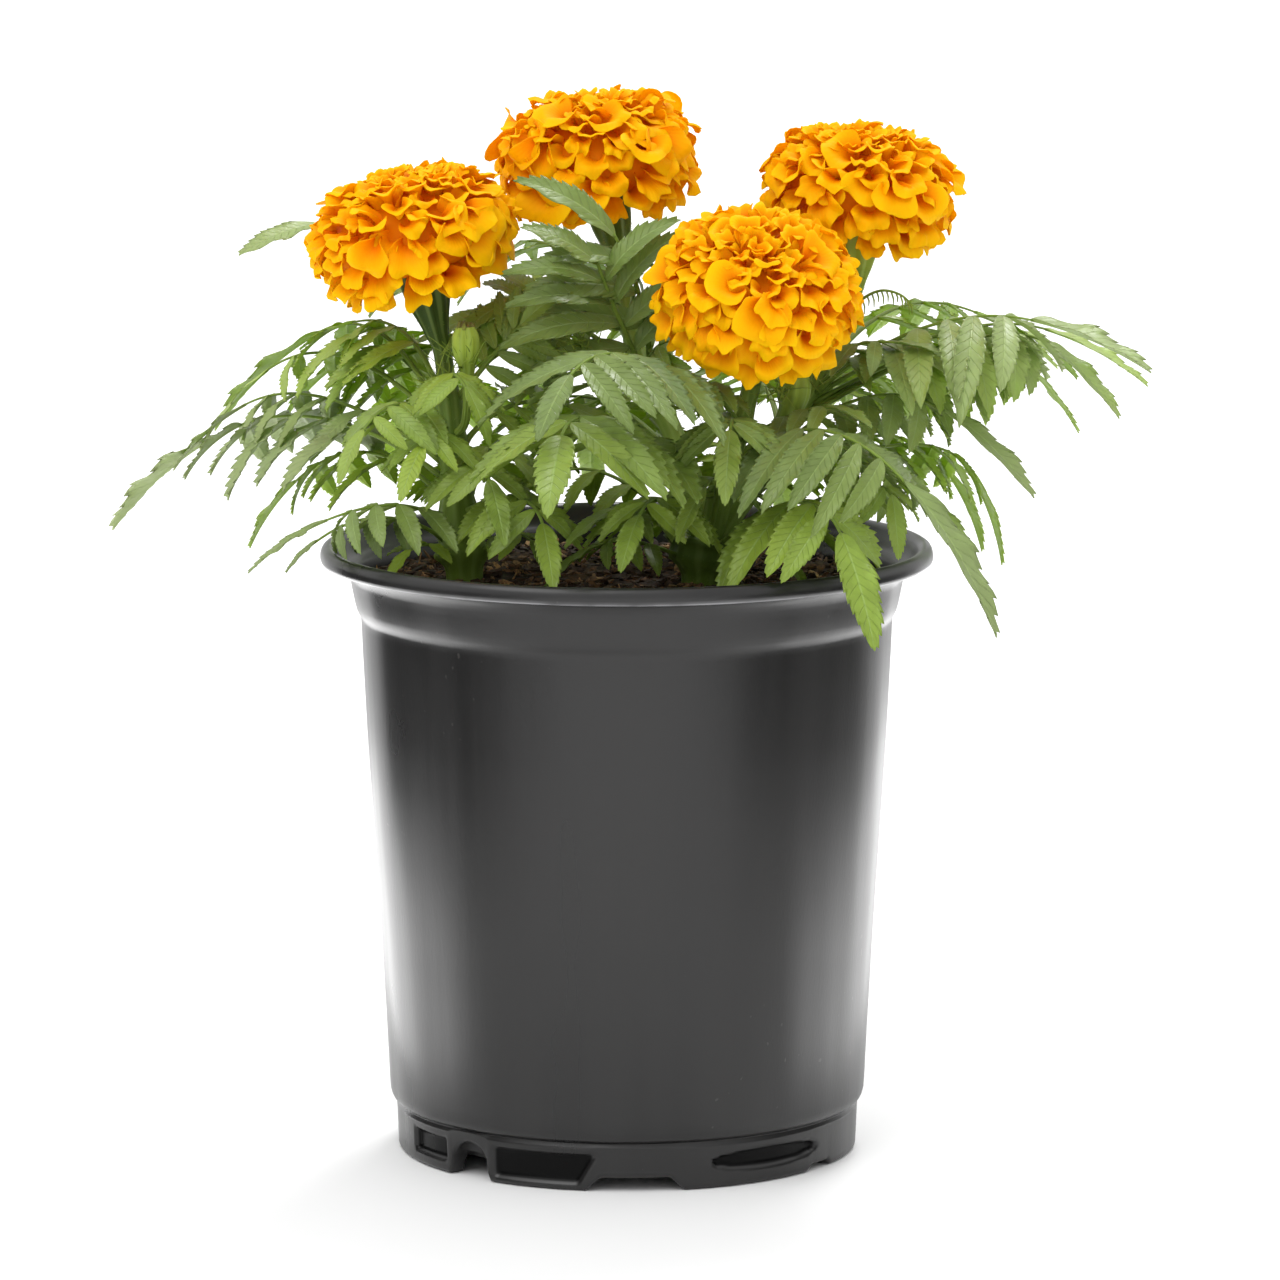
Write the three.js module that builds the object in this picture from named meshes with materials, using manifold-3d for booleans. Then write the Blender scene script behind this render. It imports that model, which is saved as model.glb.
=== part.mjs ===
// Potted marigold in a nursery pot: black blown-plastic pot, potting soil, two green stems with
// forks and calyces, four orange pompom blooms, two green buds and cut compound leaves.
// Millimetres, +Z up. The origin is the centre of the pot's foot on the surface it stands on,
// and -Y is the side that the plant shows to the viewer.

import * as THREE from "three";
import { mergeVertices } from "three/addons/utils/BufferGeometryUtils.js";
import Module from "manifold-3d";

const wasm = await Module();
wasm.setup();

// ---------------------------------------------------------------- driving dimensions

const GAP = 0.35; // clearance between pieces that touch
const ROUND_SIDES = 44; // sides of the pot and of the soil

const POT_HEIGHT = 164.5;
const LIP_RADIUS = 82.5;
const LIP_CREST_RADIUS = 80.5;
const LIP_UNDER_HEIGHT = 159.9;
const BAND_TOP_RADIUS = 74.7; // raised band under the lip
const BODY_TOP_RADIUS = 71.6;
const BODY_TOP_HEIGHT = 143;
const BODY_LOW_RADIUS = 64.2;
const BODY_LOW_HEIGHT = 14.8;
const FOOT_RADIUS = 62;
const FOOT_INNER_RADIUS = 57;
const FLOOR_UNDER = 5;
const FLOOR_TOP = 7;
const WALL = 1.5;

// Cuts in the foot, turned from the front (-Y) towards +X, each repeated on the far side.
const DRAIN_ARCH = { turn: -43, width: 14, height: 9.5 };
const FOOT_NOTCH = { turn: 2, width: 26.6, topWidth: 18, height: 3.5 };
const FOOT_NICK = { turn: 57, width: 11, topWidth: 8, height: 1.6 };
const CUT_FROM = 50;
const CUT_TO = 68;

const SOIL_HEIGHT = 155;
const SOIL_RELIEF = 1.1;
const STEM_FOOT_HEIGHT = 135; // bottom of the stems, in their holes in the soil
const HOLE_CLEARANCE = 0.9; // round a stem, whose section has flats
const HOLE_LENGTH = 50;
const HOLE_SIDES = 12;

const STEM_SIDES = 8;
const RACHIS_HALF_WIDTH = 1.1;
const RACHIS_DEPTH = 1.4;
const BLADE_THICKNESS = 1.1; // at the midrib; each half tapers to its edge
const LEAFLET_SLENDERNESS = 0.28; // width over length
const LEAFLET_CROWDING = 0.86; // widest leaflet, over the room between two of them
const LEAFLET_FOLD = 0.22; // rise of the edges over the midrib, over the half width
const LEAFLET_ARCH = 0.65; // how far a leaflet bends down along its length, radians
const LEAFLET_ROLL = 0.22; // lifts each leaflet's rear edge over the front edge of the one behind it
const END_ARCH = 0.4; // the same for the leaflet at the end of the leaf
const PETIOLE_OFFSET = 0.6; // from the stem's surface to the middle of the leaf's cut end
const STALK_OFFSET = 0.85; // the same for a bud's stalk, whose round end is tilted
const LEAFLETS_FROM = 0.3; // share of the rachis that is bare, from the stem
const LEAFLETS_SPAN = 0.64; // share that carries the pairs
const SPREAD_AT_BASE = 78; // degrees between the rachis and a leaflet, at the base
const SPREAD_LOSS = 28; // how much narrower that is at the tip
const NECK = 1.1; // half length of rachis that a leaflet grows from
const NECK_STEP = 0.1;
const NECK_TOP = 0.35;
const NECK_BOTTOM = 0.6;
const CREST_AHEAD = 0.8;

const BLOOM_DIVISIONS = 36;
const FIRST_SEED = 11; // of the petals' random reach and lift
const BLOOM_SHAPE_RADIUS = 28.3; // radius that the rings below are drawn for
const PETAL_WAVE = 0.8;
const PETAL_LIFT = 2.4; // how much higher one petal stands than the next
const PETAL_NOTCH = 0.15; // how far out the notch between two petals reaches
const REACH_LEAST = 0.92; // shortest petal, as a share of its ring's margin
const REACH_SPREAD = 0.12;

// ---------------------------------------------------------------- plant layout

// Pompom heads: centre, upright axis and outer radius.
const BLOOMS = {
  bloom_left: { centre: [-57.5, 0, 248.8], axis: [-0.23, -0.12, 0.966], radius: 28.6 },
  bloom_back: { centre: [-8, 30, 266.5], axis: [-0.2, -0.05, 0.98], radius: 28.4 },
  bloom_front: { centre: [34.4, -35, 237.9], axis: [0.05, -0.5, 0.865], radius: 28.6 },
  bloom_right: { centre: [62.6, 5, 260.3], axis: [0.08, -0.1, 0.99], radius: 27.4 },
};

// The funnel-shaped calyx under each head: [distance below the bloom's centre, radius].
const CALYX = [
  [36, 2.4],
  [28, 3.3],
  [20, 5.2],
  [14.5, 6],
  [10.4, 6.3],
];

// A stem runs through its points, [x, y, z, radius], and into the calyx of its bloom.
const LEFT_STEM = withCalyx(BLOOMS.bloom_left, [
  [-43.5, -12, STEM_FOOT_HEIGHT, 4.6],
  [-43.5, -12, 158, 4.8],
  [-44.5, -11, 167, 5.4],
  [-45, -10, 173, 3.9],
  [-46.5, -7, 192, 3.1],
]);
const TRUNK = [
  [20, -15, STEM_FOOT_HEIGHT, 5],
  [20, -15, 158, 5.1],
  [21.5, -14, 168, 5.2],
];
const FORK = [21.5, -14, 164, 4];
const FRONT_BRANCH = withCalyx(BLOOMS.bloom_front, [
  FORK,
  [25, -16, 180, 3.2],
]);
const RIGHT_BRANCH = withCalyx(BLOOMS.bloom_right, [
  FORK,
  [38, -7, 190, 3.1],
  [52, 4, 210, 2.6],
]);
const BACK_BRANCH = withCalyx(BLOOMS.bloom_back, [
  FORK,
  [14, 2, 190, 3.1],
  [3, 20, 212, 2.6],
]);

// Rings of petals from the crown down: [petals, margin radius, margin height, root radius,
// root height], where the root is the valley below the ring.
const CROWN_HEIGHT = 15.5;
const SEAT_HEIGHT = -10;
const PETAL_RINGS = [
  [4, 6.5, 17.6, 8.5, 15.8],
  [7, 14, 16.8, 14.4, 14.4],
  [9, 20.4, 13.6, 18.8, 12],
  [11, 25.4, 8.4, 21.4, 8.2],
  [12, 28, 2, 22.6, 2.8],
  [12, 28.2, -5, 21.6, -3.4],
  [11, 25, -12, 15.5, -9.4],
];

// Closed buds on short stalks: stem, height and radius where the stalk leaves it, then the
// points it runs through.
const BUDS = {
  bud_left: { stem: LEFT_STEM, from: 194, radius: 1.2, points: [[-43.2, -12.3, 199, 1.2],
    [-42.4, -14.5, 208, 1.5], [-42.6, -15, 213, 2.6], [-42.8, -15, 217, 4.1],
    [-42.9, -15, 221.5, 4.2], [-43, -15, 224, 2.8]] },
  bud_front: { stem: FRONT_BRANCH, from: 190.5, radius: 1.2, points: [[39, -14, 197, 1.6],
    [43, -17, 202, 2.8], [44.5, -18, 207, 4], [45, -18.5, 211, 3.8], [45.2, -18.6, 213.5, 2.2]] },
};

// Compound leaves: stem, height at which the leaf leaves it, a point half way along the
// rachis and the rachis tip, pairs of leaflets, longest leaflet, end leaflet, droop of the
// leaflets in radians, and the way the upper face looks, which is up unless it is given.
const LEAVES = {
  leaf_left_far: { stem: LEFT_STEM, from: 184, mid: [-82, 6, 198], tip: [-112, 20, 191],
    pairs: 5, length: 33, end: 44, droop: 0.2 },
  leaf_left_top: { stem: LEFT_STEM, from: 204, mid: [-60, 46, 237], tip: [-85, 46, 246],
    pairs: 3, length: 18, end: 27, droop: 0.2, face: [-0.3, -0.5, 0.8] },
  leaf_left_arch: { stem: LEFT_STEM, from: 200, mid: [-66, 13, 220], tip: [-84, 23, 219],
    pairs: 3, length: 26, end: 40, droop: 0.3 },
  leaf_left_upper: { stem: LEFT_STEM, from: 203, mid: [-35, -4, 217], tip: [-28, -7, 225],
    pairs: 4, length: 17.5, end: 18, droop: 0.2, face: [0.1, -0.7, 0.6] },
  leaf_left_gap: { stem: LEFT_STEM, from: 182, mid: [-34, 14, 191], tip: [-24, 24, 190],
    pairs: 3, length: 17, end: 18, droop: 0.3 },
  leaf_left_low: { stem: LEFT_STEM, from: 170, mid: [-60, -34, 180], tip: [-80, -44, 177],
    pairs: 4, length: 19, end: 25, droop: 0.4 },
  leaf_left_under: { stem: LEFT_STEM, from: 177, mid: [-70, 19, 187], tip: [-91, 30, 177],
    pairs: 4, length: 22, end: 24, droop: 0.3 },
  leaf_left_front: { stem: LEFT_STEM, from: 196, mid: [-60, -26, 206], tip: [-70, -40, 200],
    pairs: 4, length: 19, end: 18, droop: 0.4 },
  leaf_left_back: { stem: LEFT_STEM, from: 190, mid: [-50, 46, 203], tip: [-58, 76, 195],
    pairs: 5, length: 29, end: 32, droop: 0.3 },
  leaf_left_back_low: { stem: LEFT_STEM, from: 172, mid: [-40, 34, 182], tip: [-44, 64, 172],
    pairs: 4, length: 22, end: 26, droop: 0.2 },
  leaf_left_centre: { stem: LEFT_STEM, from: 175, mid: [-29, -33, 182], tip: [-22, -53, 177],
    pairs: 4, length: 21, end: 22, droop: 0.4 },
  leaf_front_upper: { stem: FRONT_BRANCH, from: 199, mid: [2, -46, 221], tip: [-15, -74, 219],
    pairs: 6, length: 40, end: 26, droop: 0.2 },
  leaf_front_lower: { stem: FRONT_BRANCH, from: 180, mid: [-5, -47, 204], tip: [-17, -80, 204],
    pairs: 5, length: 38, end: 34, droop: 0.3 },
  leaf_rising: { stem: BACK_BRANCH, from: 200, mid: [-1, -8, 224], tip: [-8, -18, 243],
    pairs: 4, length: 34, end: 30, droop: -0.15, roll: 1.1, face: [-0.1, -0.9, 0.4] },
  leaf_centre_high: { stem: BACK_BRANCH, from: 222, mid: [4, 10, 238], tip: [8, 0, 245],
    pairs: 3, length: 14, end: 15, droop: 0.2, face: [0.3, -0.6, 0.7] },
  leaf_fork: { stem: BACK_BRANCH, from: 176, mid: [26, 6, 189], tip: [26, 22, 193],
    pairs: 3, length: 16, end: 18, droop: 0.3 },
  leaf_small: { stem: BACK_BRANCH, from: 208, mid: [-15, 12, 221], tip: [-21, 3, 230],
    pairs: 3, length: 18, end: 18, droop: 0.2, face: [-0.2, -0.6, 0.7] },
  leaf_centre_back: { stem: BACK_BRANCH, from: 200, mid: [-11, 38, 211], tip: [-22, 58, 206],
    pairs: 4, length: 21, end: 24, droop: 0.3 },
  leaf_centre_low: { stem: TRUNK, from: 167, mid: [-4, -6, 184], tip: [-22, -5, 183],
    pairs: 3, length: 20, end: 22, droop: 0.3 },
  leaf_right_front: { stem: FRONT_BRANCH, from: 188, mid: [50, -48, 202], tip: [73, -66, 190],
    pairs: 6, length: 36, end: 44, droop: 0.35 },
  leaf_right_low: { stem: TRUNK, from: 166, mid: [44, -50, 183], tip: [56, -72, 177],
    pairs: 4, length: 30, end: 36, droop: 0.45 },
  leaf_right_far: { stem: RIGHT_BRANCH, from: 206, mid: [80, -12, 225], tip: [108, -25, 228],
    pairs: 5, length: 39, end: 41, droop: 0.35 },
  leaf_right_mid: { stem: RIGHT_BRANCH, from: 192, mid: [64, -12, 206], tip: [85, -20, 203],
    pairs: 4, length: 23, end: 32, droop: 0.4 },
  leaf_right_behind: { stem: RIGHT_BRANCH, from: 180, mid: [66, 22, 191], tip: [88, 36, 179],
    pairs: 4, length: 25, end: 26, droop: 0.3 },
  leaf_right_back: { stem: RIGHT_BRANCH, from: 214, mid: [74, 32, 225], tip: [96, 44, 222],
    pairs: 4, length: 26, end: 30, droop: 0.3 },
  leaf_back_right: { stem: RIGHT_BRANCH, from: 198, mid: [54, 46, 208], tip: [70, 74, 198],
    pairs: 5, length: 28, end: 30, droop: 0.3 },
  leaf_back_upper: { stem: BACK_BRANCH, from: 214, mid: [10, 62, 224], tip: [18, 88, 216],
    pairs: 5, length: 29, end: 32, droop: 0.3 },
  leaf_back_lower: { stem: BACK_BRANCH, from: 184, mid: [-4, 50, 196], tip: [-10, 80, 186],
    pairs: 5, length: 27, end: 28, droop: 0.3 },
  leaf_back_low_right: { stem: TRUNK, from: 167, mid: [34, 38, 184], tip: [42, 70, 174],
    pairs: 4, length: 24, end: 26, droop: 0.3 },
  leaf_left_inner: { stem: LEFT_STEM, from: 192, mid: [-31, 1, 202], tip: [-15, 5, 201],
    pairs: 4, length: 18, end: 20, droop: 0.2, face: [0.2, -0.5, 0.8] },
  leaf_right_inner: { stem: RIGHT_BRANCH, from: 186, mid: [58, -9, 189], tip: [78, -18, 180],
    pairs: 4, length: 19, end: 24, droop: 0.2, face: [0.2, -0.4, 0.8] },
  leaf_back_high: { stem: BACK_BRANCH, from: 222, mid: [-18, 54, 238], tip: [-32, 62, 238],
    pairs: 3, length: 18, end: 22, droop: 0.2 },
  leaf_front_bottom: { stem: TRUNK, from: 167, mid: [10, -38, 182], tip: [3, -58, 180],
    pairs: 4, length: 22, end: 22, droop: 0.35 },
  leaf_low_left: { stem: LEFT_STEM, from: 164, mid: [-53, -24, 168], tip: [-58, -32, 167],
    pairs: 1, length: 13, end: 13, droop: 0.1 },
  leaf_low_centre_left: { stem: LEFT_STEM, from: 163, mid: [-31, -21, 170], tip: [-25, -28, 169],
    pairs: 2, length: 15, end: 16, droop: 0.1 },
  leaf_low_centre: { stem: TRUNK, from: 162, mid: [2, -26, 169], tip: [-9, -31, 168],
    pairs: 3, length: 16, end: 18, droop: 0.2 },
  leaf_low_right: { stem: TRUNK, from: 162, mid: [33, -28, 169], tip: [40, -35, 168],
    pairs: 2, length: 15, end: 16, droop: 0.1 },
  leaf_low_back: { stem: TRUNK, from: 163, mid: [16, 10, 170], tip: [12, 26, 169],
    pairs: 3, length: 18, end: 18, droop: 0.1 },
};

// ---------------------------------------------------------------- materials

function material(color, roughness) {
  return new THREE.MeshStandardMaterial({ color, roughness, metalness: 0 });
}
const finish = {
  pot: material(0x413f3f, 0.35),
  soil: material(0x3b2a1c, 0.95),
  stem: material(0x6f9138, 0.6),
  leaf: material(0x527d37, 0.55),
  petal: material(0xff9d00, 0.6),
};

// ---------------------------------------------------------------- geometry helpers

function vec([x, y, z]) {
  return new THREE.Vector3(x, y, z);
}

function geometryOf(points, faces) {
  const positions = new Float32Array(points.flatMap((p) => [p.x, p.y, p.z]));
  return new THREE.BufferGeometry()
    .setAttribute("position", new THREE.BufferAttribute(positions, 3))
    .setIndex(faces.flat());
}

function toSolid(geometry) {
  const bare = geometry.clone();
  bare.deleteAttribute("normal");
  bare.deleteAttribute("uv");
  const merged = mergeVertices(bare, 1e-4);
  return new wasm.Manifold(new wasm.Mesh({
    numProp: 3,
    vertProperties: merged.attributes.position.array,
    triVerts: new Uint32Array(merged.index.array),
  }));
}

function fromSolid(solid) {
  const { vertProperties, triVerts } = solid.getMesh();
  return new THREE.BufferGeometry()
    .setAttribute("position", new THREE.BufferAttribute(vertProperties, 3))
    .setIndex(new THREE.BufferAttribute(triVerts, 1));
}

// A profile of [radius, height] turned about +Z.
function turned(profile, sides = ROUND_SIDES) {
  const outline = profile.map(([radius, height]) => new THREE.Vector2(radius, height));
  return new THREE.LatheGeometry(outline, sides).rotateX(Math.PI / 2);
}

// A closed round tube through points [x, y, z, radius].
function tube(path, sides = STEM_SIDES) {
  const centres = path.map(vec);
  const points = [];
  const faces = [];
  centres.forEach((centre, i) => {
    const before = centres[Math.max(i - 1, 0)];
    const after = centres[Math.min(i + 1, centres.length - 1)];
    const along = after.clone().sub(before).normalize();
    const across = new THREE.Vector3(0, 1, 0).cross(along).normalize();
    const up = along.clone().cross(across);
    for (let k = 0; k < sides; k++) {
      const turn = (2 * Math.PI * k) / sides;
      points.push(centre.clone()
        .addScaledVector(across, path[i][3] * Math.cos(turn))
        .addScaledVector(up, path[i][3] * Math.sin(turn)));
    }
  });
  for (let i = 0; i + 1 < centres.length; i++) {
    for (let k = 0; k < sides; k++) {
      const a = i * sides + k;
      const b = i * sides + ((k + 1) % sides);
      faces.push([a, b, b + sides], [a, b + sides, a + sides]);
    }
  }
  const last = points.length - sides;
  for (let k = 1; k + 1 < sides; k++) {
    faces.push([0, k + 1, k], [last, last + k, last + k + 1]);
  }
  return geometryOf(points, faces);
}

// The point `offset` off a stem's surface at a height, on the side that looks towards a point.
function besideStem(path, height, towards, offset) {
  const i = Math.max(1, path.findIndex((p) => p[2] >= height));
  const share = (height - path[i - 1][2]) / (path[i][2] - path[i - 1][2]);
  const [x, y, z, radius] = path[i].map((v, k) => path[i - 1][k] + share * (v - path[i - 1][k]));
  const centre = new THREE.Vector3(x, y, z);
  const rising = vec(path[i]).sub(vec(path[i - 1])).normalize();
  const outward = towards.clone().sub(centre).projectOnPlane(rising).normalize();
  return centre.addScaledVector(outward, radius + offset);
}

// ---------------------------------------------------------------- pot and soil

const INNER_WALL = [ // from the rim down to the floor
  [78.6, 163.8],
  [77.6, 161.5],
  [BAND_TOP_RADIUS - WALL, 156.5],
  [71, 147.5],
  [BODY_TOP_RADIUS - WALL, BODY_TOP_HEIGHT],
  [BODY_LOW_RADIUS - WALL, BODY_LOW_HEIGHT + 0.7],
  [FOOT_RADIUS - WALL + 0.4, 12.8],
  [FOOT_RADIUS - WALL, FLOOR_TOP],
];

// A prism that cuts through the foot from outside in: an outline in (width, height).
function footCut(shape, turn) {
  const depth = CUT_TO - CUT_FROM;
  return new THREE.ExtrudeGeometry(shape, { depth, bevelEnabled: false, curveSegments: 6 })
    .rotateX(Math.PI / 2)
    .translate(0, -CUT_FROM, 0)
    .rotateZ(THREE.MathUtils.degToRad(turn));
}

function notchShape({ width, topWidth, height }) {
  const shape = new THREE.Shape();
  shape.moveTo(-width / 2, -1);
  shape.lineTo(width / 2, -1);
  shape.lineTo(width / 2, 0);
  shape.lineTo(topWidth / 2, height);
  shape.lineTo(-topWidth / 2, height);
  shape.lineTo(-width / 2, 0);
  return shape;
}

function archShape({ width, height }) {
  const shape = new THREE.Shape();
  shape.moveTo(-width / 2, -1);
  shape.lineTo(width / 2, -1);
  shape.lineTo(width / 2, height - width / 2);
  shape.absarc(0, height - width / 2, width / 2, 0, Math.PI, false);
  return shape;
}

function potGeometry() {
  const body = turned([
    [0, FLOOR_UNDER],
    [FOOT_INNER_RADIUS - 1, FLOOR_UNDER],
    [FOOT_INNER_RADIUS, 0],
    [FOOT_RADIUS - 0.7, 0],
    [FOOT_RADIUS, 0.9],
    [FOOT_RADIUS + 0.5, 12.8],
    [BODY_LOW_RADIUS, BODY_LOW_HEIGHT],
    [66.5, 58], // the wall bellies out a little
    [69.3, 103],
    [BODY_TOP_RADIUS, BODY_TOP_HEIGHT],
    [72.6, 147.5],
    [BAND_TOP_RADIUS, 157.5],
    [77.5, LIP_UNDER_HEIGHT],
    [LIP_RADIUS - 0.6, LIP_UNDER_HEIGHT],
    [LIP_RADIUS, 161.2],
    [LIP_RADIUS - 0.7, 163.4],
    [LIP_CREST_RADIUS, POT_HEIGHT],
    ...INNER_WALL,
    [0, FLOOR_TOP],
  ]);
  const cuts = [
    [archShape(DRAIN_ARCH), DRAIN_ARCH.turn],
    [notchShape(FOOT_NOTCH), FOOT_NOTCH.turn],
    [notchShape(FOOT_NICK), FOOT_NICK.turn],
  ];
  let pot = toSolid(body);
  for (const [shape, turn] of cuts) {
    pot = pot.subtract(toSolid(footCut(shape, turn)));
    pot = pot.subtract(toSolid(footCut(shape, turn + 180)));
  }
  return fromSolid(pot);
}

function soilGeometry() {
  const side = INNER_WALL
    .filter(([, height]) => height < SOIL_HEIGHT)
    .reverse()
    .map(([radius, height]) => [radius - GAP - 0.05, height]);
  side[0][1] += GAP;
  const soil = turned([
    [0, FLOOR_TOP + GAP],
    ...side,
    [72.1, SOIL_HEIGHT - 0.6],
    [60, SOIL_HEIGHT],
    [44, SOIL_HEIGHT],
    [24, SOIL_HEIGHT],
    [0, SOIL_HEIGHT],
  ]);
  const place = soil.attributes.position;
  for (let i = 0; i < place.count; i++) {
    const [x, y, z] = [place.getX(i), place.getY(i), place.getZ(i)];
    if (z >= SOIL_HEIGHT) {
      const broad = Math.sin(0.21 * x + 1.3) * Math.cos(0.17 * y - 0.4);
      const fine = 0.5 * Math.sin(0.43 * x - 0.37 * y);
      place.setZ(i, z + SOIL_RELIEF * (broad + fine));
    }
  }
  let solid = toSolid(soil);
  for (const path of [LEFT_STEM, TRUNK]) {
    const [x, y, z, radius] = path[0];
    const bore = radius + HOLE_CLEARANCE;
    const hole = new THREE.CylinderGeometry(bore, bore, HOLE_LENGTH, HOLE_SIDES)
      .rotateX(Math.PI / 2)
      .translate(x, y, z - GAP + HOLE_LENGTH / 2);
    solid = solid.subtract(toSolid(hole));
  }
  return fromSolid(solid);
}

// ---------------------------------------------------------------- stems and calyces

function withCalyx({ centre, axis }, branch) {
  const up = vec(axis).normalize();
  const funnel = CALYX.map(([below, radius]) => [...vec(centre).addScaledVector(up, -below), radius]);
  return [...branch, ...funnel];
}

// The right stem with its three branches, joined in one piece.
function rightStemGeometry() {
  const branches = [FRONT_BRANCH, RIGHT_BRANCH, BACK_BRANCH].map((path) => toSolid(tube(path)));
  return fromSolid(branches.reduce((solid, branch) => solid.add(branch), toSolid(tube(TRUNK))));
}

// A bud on its stalk, which starts at the surface of its stem.
function budGeometry({ stem, from, radius, points }) {
  const base = besideStem(stem, from, vec(points[0]), STALK_OFFSET);
  return tube([[...base, radius], ...points]);
}

// ---------------------------------------------------------------- blooms

// Petals stand in rings round a smaller core. Every ring is a ruffled collar: its margin runs
// out to a lobe for each petal, back in to a notch between two, and up and down in small waves.
function bloomGeometry({ centre, axis, radius }, seed) {
  let state = seed;
  const random = () => {
    state = (state * 1664525 + 1013904223) % 4294967296;
    return state / 4294967296;
  };
  const scale = radius / BLOOM_SHAPE_RADIUS;
  const n = BLOOM_DIVISIONS;
  const points = [new THREE.Vector3(0, 0, CROWN_HEIGHT)];
  const addRow = (place) => {
    for (let j = 0; j < n; j++) {
      const turn = (2 * Math.PI * j) / n;
      const [r, z] = place(j);
      points.push(new THREE.Vector3(r * Math.cos(turn), r * Math.sin(turn), z));
    }
  };
  let innerHeight = CROWN_HEIGHT;
  PETAL_RINGS.forEach(([petals, marginRadius, marginHeight, rootRadius, rootHeight], ring) => {
    const notches = new Set();
    for (let k = 0; k < petals; k++) {
      notches.add(Math.round(((k + (ring % 2) / 2) * n) / petals) % n);
    }
    const middleHeight = (innerHeight + rootHeight) / 2;
    let [reach, lift] = [1, 0];
    addRow((j) => {
      const notch = notches.has(j);
      if (notch) {
        reach = REACH_LEAST + REACH_SPREAD * random();
        lift = PETAL_LIFT * (random() - 0.5);
      }
      const share = notch ? PETAL_NOTCH : reach;
      const wave = (j % 2 ? 1 : -1) * PETAL_WAVE;
      return [
        rootRadius + (marginRadius - rootRadius) * share,
        middleHeight + (marginHeight - middleHeight) * share + (notch ? 0 : wave + lift),
      ];
    });
    addRow(() => [rootRadius, rootHeight]);
    innerHeight = rootHeight;
  });
  points.push(new THREE.Vector3(0, 0, SEAT_HEIGHT));

  const faces = [];
  const rows = (points.length - 2) / n;
  const last = points.length - 1;
  for (let j = 0; j < n; j++) {
    const next = (j + 1) % n;
    faces.push([0, 1 + j, 1 + next]);
    for (let row = 0; row + 1 < rows; row++) {
      const [a, b] = [1 + row * n + j, 1 + row * n + next];
      faces.push([a, a + n, b + n], [a, b + n, b]);
    }
    faces.push([last - n + j, last, last - n + next]);
  }
  const up = vec(axis).normalize();
  const upright = new THREE.Quaternion().setFromUnitVectors(new THREE.Vector3(0, 0, 1), up);
  points.forEach((p) => p.multiplyScalar(scale).applyQuaternion(upright).add(vec(centre)));
  return geometryOf(points, faces);
}

// ---------------------------------------------------------------- leaves

// Edge of a leaflet: [share of its length, share of its half width], two forward teeth a side.
const LEAFLET_EDGE = [[0.3, 1], [0.42, 0.74], [0.66, 0.8]];
const RIB_AT = 0.5;

// Share of the longest leaflet that a leaflet at `t` along the rachis has.
function leafletShare(t) {
  return 0.55 + 0.45 * Math.sin(Math.PI * Math.min(1, 0.2 + 0.75 * t));
}

// The rachis narrows from its cut end to its tip.
function rachisTaper(t) {
  return 1 - 0.4 * t;
}

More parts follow.
